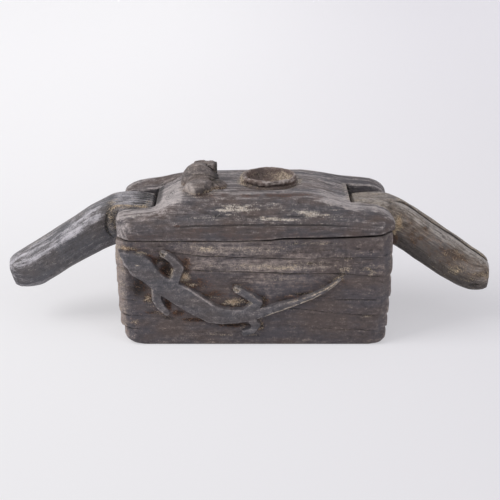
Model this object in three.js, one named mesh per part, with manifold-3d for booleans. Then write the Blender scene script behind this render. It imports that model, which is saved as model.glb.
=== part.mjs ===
// Lidded ritual box carved from two blocks of dark wood, in millimetres.
// X runs to the right along the box, the carved front faces -Y, and Z is up from the underside.
// The trough carries two paddle handles, and each handle has a tongue that stands on the rim.
// The forked lid drops between the tongues; a figure and an offering cup stand on its crown.

import * as THREE from 'three';
import { mergeVertices } from 'three/addons/utils/BufferGeometryUtils.js';
import Module from 'manifold-3d';

const wasm = await Module();
wasm.setup();

// Driving dimensions.
const SEAM = 0.3;
const WELD = 0.001;
const BOX_DEPTH = 150;
const BOX_CORNER = 12;
const END_SCALLOP = 0.8;
const FACE_SCALLOP = 0.4;
const CORNER_STEPS = 4;

// Heights well clear of the object, where cuts start or end.
const ABOVE = 260;
const BELOW = -20;
const BLOCK_TOP = 136;

// Half-rounded foot and the slight belly of the two end walls: height above the ground, then X.
const LEFT_END = [
  [0, -128], [2, -134], [6, -138.5], [12, -141.4], [24, -144.6], [55, -146.4], [100, -148.2], [140, -147],
];
const RIGHT_END = [
  [0, 143], [2, 149], [6, 152], [12, 152.9], [24, 153.2], [55, 156], [100, 157], [140, 156.2],
];
const FOOT_INSET = [[0, 3], [2, 1], [6, 0], [140, 0]];

// Each adze course bulges a little between two ledges.
const LEDGE_HEIGHTS = [18.5, 37, 55, 82, 106];
const COURSE_MIDDLES = [28, 46, 68, 94, 120];
const FOOT_HEIGHTS = [0, 2, 6, 12];

// The rim climbs to the right, and the lid's underside lifts off it there: X, then height.
const RIM = [
  [-200, 123.3], [-12, 123.3], [22, 124.2], [36, 125.6], [76, 126], [114, 127.4], [136, 128.5], [152, 130.6],
  [200, 131],
];
const LID_UNDERSIDE = [
  [-200, 123.7], [-12, 123.7], [22, 125.2], [36, 127.2], [76, 127.7], [114, 129.1], [136, 130.2],
  [152, 131.6], [200, 132],
];

// The hollow of the trough at the rim, and how far its walls stand in from there: height, then inset.
const TROUGH = { left: -100, right: 105, halfWidth: 57, corner: 14 };
const TROUGH_INSETS = [[20, 13], [24, 9.7], [34, 8], [140, -1.5]];

// Tongue and arm of each handle, from the inner end of the tongue to the tip of the arm:
// X and height of the top line, X and height of the bottom line, and half the width.
const LEFT_HANDLE = [
  [-108.8, 147, -112.5, 118, 20.5],
  [-110.5, 150, -115.5, 112, 24],
  [-122, 151.5, -126, 108, 24.5],
  [-146, 151.5, -141, 104, 25],
  [-158, 151, -150, 99, 24],
  [-167, 148.5, -157.5, 96.5, 22.5],
  [-181, 142, -169, 92, 23.5],
  [-205, 125, -190, 80, 23.5],
  [-235, 104, -218, 62.5, 23.5],
  [-259, 90, -241, 48.5, 23],
  [-271, 83, -255, 45, 22.5],
  [-275.5, 80, -264.5, 45.2, 21.8],
  [-278.4, 77, -270, 47, 18.5],
];
const RIGHT_HANDLE = [
  [115.8, 148, 119.5, 118, 17],
  [117.5, 151, 122.5, 114, 20.5],
  [128, 152, 132, 110, 22],
  [150, 152.5, 146, 105, 24.5],
  [162, 151, 158, 99.5, 24],
  [174, 147.5, 166, 96, 23.5],
  [190, 137.5, 177, 89, 23.5],
  [205, 127, 191, 78.5, 23.5],
  [235, 106, 220, 59, 23.5],
  [254, 93, 241, 46.5, 23],
  [265, 85.5, 256, 41, 22.5],
  [272.5, 79.6, 267, 40.6, 21.8],
  [275.8, 75.8, 274, 43, 18.5],
];

// Sections of arm and tongue, as shares of the half width and of the half thickness. The tongue's is boxier,
// and turns into the arm's over the stations of the shoulder.
const ARM_SECTION = [
  [-1, 0.5], [-0.62, 0.86], [-0.2, 0.99], [0.3, 0.99], [0.72, 0.82], [0.97, 0.42],
  [1, -0.35], [0.78, -0.84], [0.25, -1], [-0.45, -1], [-0.88, -0.78], [-1, -0.35],
];
const TONGUE_SECTION = [
  [-1, 0.62], [-0.9, 0.86], [-0.3, 0.97], [0.35, 1], [0.88, 0.96], [1, 0.72],
  [1, -0.35], [0.78, -0.84], [0.25, -1], [-0.45, -1], [-0.88, -0.78], [-1, -0.35],
];
const SHOULDER_STATIONS = { from: 3, to: 6 };

// Lid plan, and the heights along it: X, then height.
const LID = { left: -147.5, right: 160, corner: 20, blankFloor: 105, columnStep: 7.5, rows: 22 };
const BAND_TOP = [
  [-150, 135], [-134, 136], [-119, 137.6], [-92, 139.8], [-54, 141.5], [11, 142.7], [81, 142.5], [130, 140],
  [163, 136],
];
const FRONT_CREST = [
  [-150, 141], [-146, 145.5], [-140, 147.8], [-122, 149.8], [-110, 151.2], [-103, 153], [-91, 159],
  [-83, 163], [-75, 165.5], [-40, 167], [60, 167], [80, 165], [98, 160.5], [112, 157], [124, 156],
  [139, 154.7], [148, 151.5], [154, 147.7], [161, 139],
];
const REAR_CREST = [
  [-150, 142], [-144, 147.5], [-138, 152], [-131, 155.5], [-118, 158.5], [-106, 160], [-92, 162.5],
  [-60, 166], [0, 167.5], [60, 167], [84, 164], [112, 161], [142, 158], [150, 154.5], [155, 150.5],
  [161, 143], [163, 139],
];
// Between these distances behind the middle plane the lid's top passes from the front crest to the rear one.
const REAR_RISE = { from: 30, to: 58 };
const CROWN_DOME = { rise: 2.5, reach: 110, fade: 50 };
const LID_EDGE_STEPS = [0, 0.8, 3];
const FLANK_SLOPE = 1.35;
const FLANK_SOFTNESS = { crown: 4, prong: 14, crownReach: 80, prongReach: 110 };

// The two notches that straddle the tongues. Each end wall is upright below the shoulder and leans above it.
const NOTCH = { front: -38, rear: 34, shoulder: 143, top: 173 };
const LEFT_WALL = { foot: -107.8, lip: -99, mouth: -200 };
const RIGHT_WALL = { foot: 114.5, lip: 108.5, mouth: 200 };

// Figure at the left of the crown: centre and half sizes of its back, head, muzzle and crest.
// The crest is cut flat on top and at its right.
const FIGURE_FLOOR = 159;
const LOBE_SEGMENTS = [20, 12];
const FIGURE_BACK = { centre: [-57.5, 3, 168], half: [21, 23, 22.6] };
const FIGURE_HEAD = { centre: [-56, -27, 166], half: [19.5, 25, 14] };
const FIGURE_MUZZLE = { centre: [-35, -18, 168], half: [8.5, 10, 7] };
const FIGURE_CREST = { centre: [-51, 10, 168], half: [19, 13, 30] };
const CREST_TOP = 189.3;
const CREST_RIGHT = -37.5;

// Offering cup at the right of the crown: radius, then height.
const CUP_CENTRE = [22.5, 5];
const CUP_OUTSIDE = [[30.5, 158], [31.5, 167], [30.4, 171], [30.2, 174], [29.2, 176.3], [28.2, 176.9]];
const CUP_BOWL = [[27, 176], [25.4, 171.5], [21.5, 166.5], [12, 163.2]];
const CUP_FLOOR = 162.4;
const CUP_SEGMENTS = 36;

// Lizard on the front: X, height and half width along each limb, and how proud it stands.
const RELIEF = 5.3;
const LIMB_ARCH = 1.1;
const LIMB_SECTION = [[-1, 0], [-0.85, 0.62], [-0.4, 0.95], [0, 1], [0.4, 0.95], [0.85, 0.62], [1, 0]];
const LIMB_TIP = { reach: 0.8, width: 0.5, rise: 0.6 };
const LIZARD = {
  trunk: [
    [-142, 111.5, 2], [-133, 104, 8], [-120, 94.5, 13.5], [-108, 83, 10.8], [-97, 73, 11.5], [-77, 61, 13],
    [-55, 46, 12.5], [-30, 35, 9.5], [2, 37.5, 7.5], [28, 45, 6], [51, 52.5, 4.8], [82, 66, 3.6],
    [101, 80, 2.2],
  ],
  foreLegUp: [[-85, 75, 5.5], [-79.5, 88, 5.5], [-83, 98, 4.8], [-94, 108, 4.8]],
  foreLegDown: [[-103, 68, 5.5], [-102, 56, 5.5], [-95, 45, 5], [-86, 36.5, 4.2]],
  hindLegUp: [[0, 41, 5.5], [10, 51.5, 5], [-2, 61, 4.6], [-14, 67, 4.6]],
  hindLegDown: [[-1, 33, 5], [7.5, 23.5, 4.6], [-1, 16, 4.2]],
};

// Straight-line reading of a list of places and values.
function along(points, place) {
  const next = Math.max(1, points.findIndex(([at]) => at > place));
  const [[fromPlace, fromValue], [toPlace, toValue]] = [points[next - 1], points[next]];
  return THREE.MathUtils.mapLinear(place, fromPlace, toPlace, fromValue, toValue);
}

function softMin(a, b, softness) {
  const share = Math.max(softness - Math.abs(a - b), 0) / softness;
  return Math.min(a, b) - share * share * softness * 0.25;
}

// Closed skin through rings of equal length, with a fan over each end ring.
function loft(rings) {
  const count = rings[0].length;
  const last = (rings.length - 1) * count;
  const faces = [];
  for (let start = 0; start < last; start += count) {
    for (let i = 0; i < count; i++) {
      const a = start + i;
      const b = start + (i + 1) % count;
      faces.push(a, b, b + count, a, b + count, a + count);
    }
  }
  for (let i = 1; i + 1 < count; i++) {
    faces.push(0, i + 1, i, last, last + i, last + i + 1);
  }
  return outwards(rings.flat(), faces);
}

// Turns the faces round where they were laid inside out.
function outwards(points, faces) {
  let volume = 0;
  for (let i = 0; i < faces.length; i += 3) {
    const [a, b, c] = [points[faces[i]], points[faces[i + 1]], points[faces[i + 2]]];
    volume += a.dot(new THREE.Vector3().crossVectors(b, c));
  }
  const geometry = new THREE.BufferGeometry().setFromPoints(points);
  geometry.setIndex(volume < 0 ? faces.reverse() : faces);
  return geometry;
}

function solid(geometry) {
  const bare = geometry.clone();
  bare.deleteAttribute('normal');
  bare.deleteAttribute('uv');
  const merged = mergeVertices(bare, WELD);
  return new wasm.Manifold(new wasm.Mesh({
    numProp: 3,
    vertProperties: Float32Array.from(merged.attributes.position.array),
    triVerts: Uint32Array.from(merged.index.array),
  }));
}

function join(solids) {
  return solids.reduce((whole, piece) => whole.add(piece));
}

function meshOf(name, body, colour, roughness) {
  const result = body.getMesh();
  const geometry = new THREE.BufferGeometry();
  geometry.setAttribute('position', new THREE.BufferAttribute(result.vertProperties, 3));
  geometry.setIndex(new THREE.BufferAttribute(result.triVerts, 1));
  geometry.computeVertexNormals();
  const material = new THREE.MeshStandardMaterial({ color: colour, roughness, metalness: 0 });
  const mesh = new THREE.Mesh(geometry, material);
  mesh.name = name;
  return mesh;
}

// Level rectangle with rounded corners.
function roundedRing(left, right, front, rear, corner, height) {
  const ring = [];
  const corners = [[right - corner, rear - corner], [left + corner, rear - corner],
    [left + corner, front + corner], [right - corner, front + corner]];
  corners.forEach(([x, y], quarter) => {
    for (let step = 0; step <= CORNER_STEPS; step++) {
      const angle = (quarter + step / CORNER_STEPS) * Math.PI / 2;
      ring.push(new THREE.Vector3(x + corner * Math.cos(angle), y + corner * Math.sin(angle), height));
    }
  });
  return ring;
}

// Straight bar along Y whose section is a closed outline in X and Z.
function bar(outline, front, rear) {
  const shape = new THREE.Shape(outline.map(([x, z]) => new THREE.Vector2(x, z)));
  const geometry = new THREE.ExtrudeGeometry(shape, { depth: rear - front, bevelEnabled: false });
  geometry.rotateX(Math.PI / 2);
  geometry.translate(0, rear, 0);
  return solid(geometry);
}

// Everything on one side of a seam line that runs the length of the box.
function sideOf(seam, height, offset) {
  const line = seam.map(([x, z]) => [x, z + offset]);
  return bar([...line, [seam.at(-1)[0], height], [seam[0][0], height]], -BOX_DEPTH, BOX_DEPTH);
}

// Outside of the trough block, grown evenly where a neighbour is fitted to it.
function boxBlock(grow) {
  const heights = [...FOOT_HEIGHTS, ...LEDGE_HEIGHTS, ...COURSE_MIDDLES, BLOCK_TOP].sort((a, b) => a - b);
  const rings = heights.map((height) => {
    const way = COURSE_MIDDLES.includes(height) ? 1 : LEDGE_HEIGHTS.includes(height) ? -1 : 0;
    const left = along(LEFT_END, height) - way * END_SCALLOP - grow;
    const right = along(RIGHT_END, height) + way * END_SCALLOP + grow;
    const half = BOX_DEPTH / 2 - along(FOOT_INSET, height) + way * FACE_SCALLOP + grow;
    return roundedRing(left, right, -half, half, BOX_CORNER, height);
  });
  return solid(loft(rings));
}

function troughHollow() {
  const { left, right, halfWidth, corner } = TROUGH;
  return solid(loft(TROUGH_INSETS.map(([height, inset]) => roundedRing(
    left + inset, right - inset, inset - halfWidth, halfWidth - inset, corner, height))));
}

function boxBody() {
  return boxBlock(0).subtract(troughHollow()).subtract(sideOf(RIM, ABOVE, 0));
}

// One handle with its tongue, cut back to stand clear of the rim and the end wall.
function handle(stations) {
  const rings = stations.map(([topX, topZ, lowX, lowZ, half], station) => {
    const armShare = THREE.MathUtils.smoothstep(station, SHOULDER_STATIONS.from, SHOULDER_STATIONS.to);
    return ARM_SECTION.map(([armAcross, armUp], corner) => {
      const [tongueAcross, tongueUp] = TONGUE_SECTION[corner];
      const share = (THREE.MathUtils.lerp(tongueUp, armUp, armShare) + 1) / 2;
      const x = THREE.MathUtils.lerp(lowX, topX, share);
      const z = THREE.MathUtils.lerp(lowZ, topZ, share);
      return new THREE.Vector3(x, THREE.MathUtils.lerp(tongueAcross, armAcross, armShare) * half, z);
    });
  });
  const wall = boxBlock(SEAM).subtract(sideOf(RIM, ABOVE, SEAM));
  return solid(loft(rings)).subtract(wall);
}

// Height of the lid's top: a domed crown and four prongs between two sloping flanks.
function lidTop(x, y) {
  const blend = THREE.MathUtils.smoothstep(y, REAR_RISE.from, REAR_RISE.to);
  const crest = THREE.MathUtils.lerp(along(FRONT_CREST, x), along(REAR_CREST, x), blend);
  const half = BOX_DEPTH / 2;
  const { rise, reach, fade } = CROWN_DOME;
  const dome = rise * (1 - (y / half) ** 2) * THREE.MathUtils.smoothstep(reach - Math.abs(x), 0, fade);
  const band = along(BAND_TOP, x);
  const flank = band + FLANK_SLOPE * (half - Math.abs(y));
  const { crown, prong, crownReach, prongReach } = FLANK_SOFTNESS;
  const outer = THREE.MathUtils.smoothstep(Math.abs(x), crownReach, prongReach);
  return softMin(crest + dome, flank, THREE.MathUtils.lerp(crown, prong, outer));
}

function lidBlank() {
  const columns = Math.round((LID.right - LID.left) / LID.columnStep);
  const places = LID_EDGE_STEPS.map((inset) => LID.left + inset);
  for (let column = 1; column < columns; column++) {
    places.push(LID.left + column * (LID.right - LID.left) / columns);
  }
  places.push(...LID_EDGE_STEPS.toReversed().map((inset) => LID.right - inset));
  const rings = places.map((x) => {
    const reach = Math.min(x - LID.left, LID.right - x, LID.corner);
    const half = BOX_DEPTH / 2 - LID.corner + Math.sqrt(LID.corner ** 2 - (LID.corner - reach) ** 2);
    const ring = [new THREE.Vector3(x, -half, LID.blankFloor)];
    for (let row = 0; row <= LID.rows; row++) {
      const y = half * Math.sin((row / LID.rows - 0.5) * Math.PI);
      ring.push(new THREE.Vector3(x, y, lidTop(x, y)));
    }
    ring.push(new THREE.Vector3(x, half, LID.blankFloor));
    return ring;
  });
  return solid(loft(rings));
}

function notch({ foot, lip, mouth }) {
  const { shoulder, top } = NOTCH;
  const outline = [[mouth, BELOW], [foot, BELOW], [foot, shoulder], [lip, top], [mouth, top]];
  return bar(outline, NOTCH.front, NOTCH.rear);
}

function ellipsoid({ centre, half }, grow) {
  const geometry = new THREE.SphereGeometry(1, ...LOBE_SEGMENTS);
  geometry.scale(...half.map((size) => size + grow));
  geometry.translate(...centre);
  return solid(geometry);
}

// Everything between two heights, from the lid's left end to a place along it.
function slab(right, low, high) {
  return bar([[LID.left, low], [right, low], [right, high], [LID.left, high]], -BOX_DEPTH, BOX_DEPTH);
}

// The figure's lobes, let a little way into the crown.
function figure(grow) {
  const lobes = [FIGURE_BACK, FIGURE_HEAD, FIGURE_MUZZLE].map((lobe) => ellipsoid(lobe, grow));
  const crest = ellipsoid(FIGURE_CREST, grow).intersect(slab(CREST_RIGHT + grow, BELOW, CREST_TOP + grow));
  return join([...lobes, crest]).subtract(slab(LID.right, BELOW, FIGURE_FLOOR - grow));
}

function turned(profile) {
  const geometry = new THREE.LatheGeometry(profile.map(([r, z]) => new THREE.Vector2(r, z)), CUP_SEGMENTS);
  geometry.rotateX(Math.PI / 2);
  geometry.translate(...CUP_CENTRE, 0);
  return solid(geometry);
}

function cup() {
  const base = CUP_OUTSIDE[0][1];
  return turned([[0, base], ...CUP_OUTSIDE, ...CUP_BOWL, [0, CUP_FLOOR]]);
}

function cupSocket() {
  const grown = CUP_OUTSIDE.map(([r, z]) => [r + SEAM, z]);
  const base = CUP_OUTSIDE[0][1] - SEAM;
  return turned([[0, base], [grown[0][0], base], ...grown, [grown.at(-1)[0], ABOVE], [0, ABOVE]]);
}

function lidBoard() {
  return lidBlank()
    .subtract(sideOf(LID_UNDERSIDE, BELOW, 0))
    .subtract(notch(LEFT_WALL))
    .subtract(notch(RIGHT_WALL))
    .subtract(figure(SEAM))
    .subtract(cupSocket());
}

// Half-round bar that follows one limb of the lizard, flat against the front of the box.
function limb(points) {
  const wall = -BOX_DEPTH / 2 - FACE_SCALLOP - SEAM;
  const centres = points.map(([x, z]) => new THREE.Vector2(x, z));
  const ringAt = (centre, ahead, half, rise) => LIMB_SECTION.map(([across, up]) => new THREE.Vector3(
    centre.x - ahead.y * across * half, wall - up * rise, centre.y + ahead.x * across * half));
  const rings = centres.map((centre, i) => {
    const before = centres[Math.max(i - 1, 0)];
    const after = centres[Math.min(i + 1, centres.length - 1)];
    const ahead = after.clone().sub(before).normalize();
    const half = points[i][2];
    const rise = Math.min(RELIEF, half * LIMB_ARCH);
    const ring = ringAt(centre, ahead, half, rise);
    const way = i === 0 ? -1 : 1;
    const end = centre.clone().addScaledVector(ahead, way * half * LIMB_TIP.reach);
    const tip = ringAt(end, ahead, half * LIMB_TIP.width, rise * LIMB_TIP.rise);
    if (i === 0) return [tip, ring];
    return after === centre ? [ring, tip] : [ring];
  });
  return solid(loft(rings.flat()));
}

const object = new THREE.Group();
object.add(
  meshOf('box_body', boxBody(), 0x3a3432, 0.72),
  meshOf('handle_left', handle(LEFT_HANDLE), 0x4b4846, 0.66),
  meshOf('handle_right', handle(RIGHT_HANDLE), 0x4a443c, 0.66),
  meshOf('lizard_relief', join(Object.values(LIZARD).map(limb)), 0x3d3c3f, 0.62),
  meshOf('lid_board', lidBoard(), 0x423c39, 0.7),
  meshOf('lid_figure', figure(0), 0x3e3936, 0.68),
  meshOf('lid_cup', cup(), 0x403a35, 0.74),
);

export default object;
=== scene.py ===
"""Looks of a carved ritual box: a trough with two handles and a lizard, and a forked lid with a figure
and an offering cup. Shapes are worked out in millimetres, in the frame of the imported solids."""

import math

import bpy
import numpy as np
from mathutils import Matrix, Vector


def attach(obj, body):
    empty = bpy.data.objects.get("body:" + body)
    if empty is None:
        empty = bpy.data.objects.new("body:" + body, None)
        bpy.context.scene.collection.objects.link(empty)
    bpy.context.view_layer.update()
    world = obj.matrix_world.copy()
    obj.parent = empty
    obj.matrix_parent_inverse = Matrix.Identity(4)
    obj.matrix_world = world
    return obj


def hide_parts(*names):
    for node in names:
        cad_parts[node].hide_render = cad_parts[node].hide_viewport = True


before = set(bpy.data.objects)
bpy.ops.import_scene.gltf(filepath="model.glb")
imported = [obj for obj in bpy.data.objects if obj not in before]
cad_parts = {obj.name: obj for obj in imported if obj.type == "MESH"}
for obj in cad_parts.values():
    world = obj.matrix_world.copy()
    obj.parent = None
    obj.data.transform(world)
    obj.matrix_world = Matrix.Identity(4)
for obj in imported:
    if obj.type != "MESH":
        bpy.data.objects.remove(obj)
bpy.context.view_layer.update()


# The lizard lies on the front wall, carved from the same block of hardwood as the trough. Its plan comes
# first, because the carver sank the wall round it. Each limb is a row of X, height and half width in mm.
MM = 0.001
LIMBS = {
    "trunk": [
        (-143.5, 112.6, 0.6), (-137.5, 108, 4.8), (-130, 101.7, 9.8), (-121.5, 95.6, 13.6), (-117, 92, 13.2),
        (-108, 83, 10.4), (-99, 74.5, 11), (-87, 67, 12), (-72, 58, 12.8), (-59, 49, 12.6), (-44, 39.7, 11.4),
        (-30.5, 36, 9.6), (-14.5, 36, 8.4), (2, 38, 7.4), (18, 42, 5.8), (35.5, 47.4, 4.7), (51, 52.4, 3.8),
        (67.5, 58.5, 3.1), (83, 66.5, 2.6), (93, 74, 2.2), (99.5, 79.5, 1.5),
    ],
    "fore leg up": [
        (-83, 79, 5.7), (-80, 87, 5.5), (-77.6, 93, 5.2), (-85, 102.6, 4.4), (-91, 107, 4.3), (-95, 109, 3.8),
    ],
    "fore leg down": [(-103.5, 66, 5.7), (-103.3, 55.5, 5.5), (-99, 47, 5.0), (-92.6, 40.4, 4.0)],
    "hind leg up": [
        (-2, 42, 6), (5, 48, 5.9), (8.8, 52.6, 5.6), (0.6, 58.4, 5.3), (-7, 63.8, 4.6), (-14.5, 67.2, 3.9),
    ],
    "hind leg down": [(0.6, 33.3, 5.3), (6.9, 25.2, 4.7), (2, 18.6, 4.2), (-6, 15.6, 3.4)],
}
LIMB_BLEND = 2.0
# Clefts between the toes: the outer and the inner end of each, in mm.
CLEFTS = [((-100, 112), (-94.5, 108.2)), ((-20, 69.5), (-13, 67))]
CLEFT_OUTER_HALF, CLEFT_MARGIN, CLEFT_BLEND = 0.3, 0.5, 0.6


def off_limb(x, z, points):
    """Distance in mm from a limb's edge: negative on the limb, positive on the wall beside it."""
    best = None
    for (ax, az, a_half), (bx, bz, b_half) in zip(points, points[1:]):
        run_x, run_z = bx - ax, bz - az
        share = np.clip(((x - ax) * run_x + (z - az) * run_z) / (run_x ** 2 + run_z ** 2), 0, 1)
        gap = np.hypot(x - ax - share * run_x, z - az - share * run_z) - a_half - share * (b_half - a_half)
        best = gap if best is None else np.minimum(best, gap)
    return best


def soft_min(a, b, softness):
    """The lower of two distances, rounded over where they meet."""
    share = np.maximum(softness - np.abs(a - b), 0) / softness
    return np.minimum(a, b) - share * share * softness * 0.25


def soft_max(a, b, softness):
    """The higher of two distances, rounded over where they meet."""
    return -soft_min(-a, -b, softness)


def off_lizard(x, z):
    """Distance in mm from the lizard's outline: negative on the lizard."""
    gap, *legs = [off_limb(x, z, points) for points in LIMBS.values()]
    for leg in legs:
        gap = soft_min(gap, leg, LIMB_BLEND)
    for (outer_x, outer_z), (inner_x, inner_z) in CLEFTS:
        cleft = off_limb(x, z, [(outer_x, outer_z, CLEFT_OUTER_HALF), (inner_x, inner_z, 0)])
        gap = soft_max(gap, CLEFT_MARGIN - cleft, CLEFT_BLEND)
    return gap


def over_spine(x, z):
    """Height over the middle line of the lizard's body at this place along X, in mm."""
    places, heights, _ = zip(*LIMBS["trunk"])
    return z - np.interp(x, places, heights)


# The trough is one block of dark hardwood, hollowed from above and dressed outside with an adze in level
# courses that lap a little and scallop the corners. Smoke and oil blackened it, and tan crust fills its lows.
HALF_DEPTH = 75.0
BOX_CORNER, INSIDE_CORNER = 12.0, 14.0
LEFT_END = [
    (0, -128), (2, -134), (6, -138.5), (12, -141.4), (24, -144.6), (55, -146.4), (100, -148.2), (140, -147),
]
RIGHT_END = [(0, 143), (2, 149), (6, 152), (12, 152.9), (24, 153.2), (55, 156), (100, 157), (140, 156.2)]
FOOT_INSET = [(0, 3), (2, 1), (6, 0)]
RIM = [(-12, 123.3), (22, 124.2), (36, 125.6), (76, 126), (114, 127.4), (136, 128.5), (152, 130.6)]
LOW_RIM, STRETCH_FROM = 123.3, 100.0
TROUGH_LEFT, TROUGH_RIGHT, TROUGH_HALF = -100.0, 105.0, 57.0
TROUGH_INSETS = [(20, 13), (24, 9.7), (34, 8), (140, -1.5)]
TROUGH_FLOOR, MOUTH_HEIGHT, MOUTH_DRAW = 20.0, 124, 0.8
# Where rings of points lie: how far in under the foot and on the floor in mm, at which heights outside, and
# at which shares of the way over the rim and down the inside.
UNDER_RINGS = (71, 60, 44, 28, 16, 8, 3)
OUTSIDE_RINGS = (0.0, 0.5, 1.1, 2.0, *np.arange(3.0, 122.0, 1.0))
ROUNDED_RINGS = [(122.6, 0.05), (123.05, 0.3), (LOW_RIM, 0.8)]
RIM_RINGS = (0.08, 0.2, 0.35, 0.5, 0.65, 0.8, 0.9, 0.96)
INSIDE_RINGS = (0.0, 0.005, 0.02, 0.05, *np.arange(0.09, 0.995, 0.035), 1.0)
FLOOR_RINGS = (3, 8, 15, 23, 32, 40)

# Height of each ledge between two courses at these places along X, and how deep it cuts the front there.
LEDGE_PLACES = [-148, -100, -55, 45, 75, 100, 156]
LEDGES = [
    ([117, 112, 107, 103.7, 104.5, 105, 106], [0.5, 0.3, 0.9, 1.0, 0.9, 0.8, 1.0]),
    ([92, 92, 90, 86.5, 86.4, 86.3, 82], [0.6, 0.2, 0.9, 1.0, 1.0, 0.9, 1.0]),
    ([71, 68, 64, 58, 57, 55.5, 54.8], [0.5, 0.2, 0.1, 0.1, 0.2, 0.8, 1.0]),
    ([55, 54, 50, 45, 42, 39, 34.5], [0.5, 0.2, 0.1, 0.8, 0.9, 0.8, 1.0]),
    ([37, 35, 31, 24, 21, 19.5, 18.5], [0.6, 0.5, 0.3, 0.2, 0.4, 0.6, 1.0]),
    ([21, 19, 16, 10, 8, 7, 6], [0.6, 0.4, 0.3, 0.1, 0.1, 0.1, 0.3]),
]
# How far the courses lap and bulge on the front and on the ends, and how deep each ledge cuts the back.
FRONT_LAP, END_LAP = 0.75, 1.1
FRONT_BULGE, END_BULGE = 0.15, 1.7
BACK_CUT = 0.8
# How far each course stands straight at the ends, as a share, and the flats at the corners: the spread of
# their slant, the least cut and what chance adds to it.
END_STEP = 0.7
FACET_SLANT, FACET_LEAST, FACET_MORE = 0.3, 1.9, 1.3

# How far the wall is sunk beside the lizard, under and over its spine, and how far that reaches, in mm.
SUNK_UNDER, SUNK_OVER, SUNK_REACH = 0.9, 2.0, 7.0
# Deeper hollows beside the lizard and chips to its right: X, height, reach along X, reach in height and
# depth, in mm.
PITS = [
    (-92.5, 89.5, 6, 9, 5.0), (-101, 100, 8, 5, 2.4), (-62, 76, 16, 8, 1.4), (-38, 62, 14, 8, 1.4),
    (-18, 24.6, 14, 2.2, 2.8), (-122, 68, 10, 12, 3.2), (-114, 57, 5, 6, 1.0), (-17, 52, 12, 5, 2.2),
    (-60, 30.5, 16, 2.4, 1.6), (-92, 49, 3.5, 7, 2.6), (-80, 38.5, 7, 4, 1.6), (-110, 39, 10, 3, 0.8),
    (131, 91, 3, 1.5, 0.9), (66, 98, 3, 1.6, 1.0), (15, 53, 5, 5, 1.4), (58, 61, 20, 2.5, 0.8),
    (13, 22, 4, 6, 0.8), (-70, 97, 5, 8, 0.9),
]


def along(points, place):
    """Value at a place, read between the points of a profile."""
    places, values = zip(*points)
    return np.interp(place, places, values)


def ease(low, high, value):
    """0 at low, 1 at high, eased between them. High may be the lesser of the two."""
    share = np.clip((value - low) / (high - low), 0, 1)
    return share * share * (3 - 2 * share)


def near(value, place, width):
    """1 at a place, fading to 0 over about twice that width on either side."""
    return np.exp(-((value - place) / width) ** 2)


def chance(x, y, z, seed):
    """A fixed number from 0 to 1 for each whole-number cell."""
    mixed = (x * 374761393 + y * 668265263 + z * 1442695041 + seed * 362437) & 0xFFFFFFFF
    mixed = ((mixed ^ (mixed >> 13)) * 1274126177) & 0xFFFFFFFF
    return ((mixed ^ (mixed >> 16)) & 0xFFFF) / 65535


def swell(x, y, z, seed):
    """Smooth random heights from -1 to 1, with about one swell to a unit. Each seed gives its own pattern."""
    cells = [np.floor(np.asarray(c, float)) for c in (x, y, z)]
    shares = [np.asarray(c, float) - cell for c, cell in zip((x, y, z), cells)]
    shares = [share * share * (3 - 2 * share) for share in shares]
    cells = [cell.astype(np.int64) for cell in cells]
    total = 0
    for i in (0, 1):
        for j in (0, 1):
            for k in (0, 1):
                weight = 1
                for step, share in zip((i, j, k), shares):
                    weight = weight * (share if step else 1 - share)
                total = total + weight * chance(cells[0] + i, cells[1] + j, cells[2] + k, seed)
    return 2 * total - 1


def scoops(across, up, seed):
    """Overlapping round-bottomed cuts, one to a unit: 0 in the middle of a cut, near 1 at its arris."""
    cell_a, cell_u = np.floor(across).astype(np.int64), np.floor(up).astype(np.int64)
    nearest = np.full(np.broadcast(across, up).shape, 9.0)
    for i in (-1, 0, 1):
        for j in (-1, 0, 1):
            a, u = cell_a + i, cell_u + j
            middle_a = a + 0.2 + 0.6 * chance(a, u, 0, seed)
            middle_u = u + 0.25 + 0.5 * chance(a, u, 1, seed)
            nearest = np.minimum(nearest, (across - middle_a) ** 2 + (up - middle_u) ** 2)
    return np.minimum(nearest, 1)


def ring_columns():
    """Side shares and heading of each column round the box, counterclockwise from the front's left corner."""
    front, end, rear, corner = 270, 44, 84, 9
    side_x, side_y, heading = [], [], []
    runs = [
        (front, -1, 1, -1, -1, -90), (end, 1, 1, -1, 1, 0),
        (rear, 1, -1, 1, 1, 90), (end, -1, -1, 1, -1, 180),
    ]
    for steps, from_x, to_x, from_y, to_y, angle in runs:
        share = np.linspace(0, 1, steps)
        side_x += list(from_x + share * (to_x - from_x)) + [to_x] * corner
        side_y += list(from_y + share * (to_y - from_y)) + [to_y] * corner
        heading += [angle] * steps + list(angle + 90 * np.arange(1, corner + 1) / (corner + 1))
    return np.array(side_x, float), np.array(side_y, float), np.radians(heading)


def rounded(left, right, half, corner, columns):
    """Plan of a ring with straight sides and round corners."""
    side_x, side_y, heading = columns
    middle, reach = (left + right) / 2, (right - left) / 2
    x = middle + side_x * (reach - corner) + corner * np.cos(heading)
    y = side_y * (half - corner) + corner * np.sin(heading)
    return x, y


def ledge_lines(x):
    """Height of each ledge at this place along X, from the top one down, and how deep it cuts there."""
    return [[np.interp(x, LEDGE_PLACES, values) for values in ledge] for ledge in LEDGES]


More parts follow.
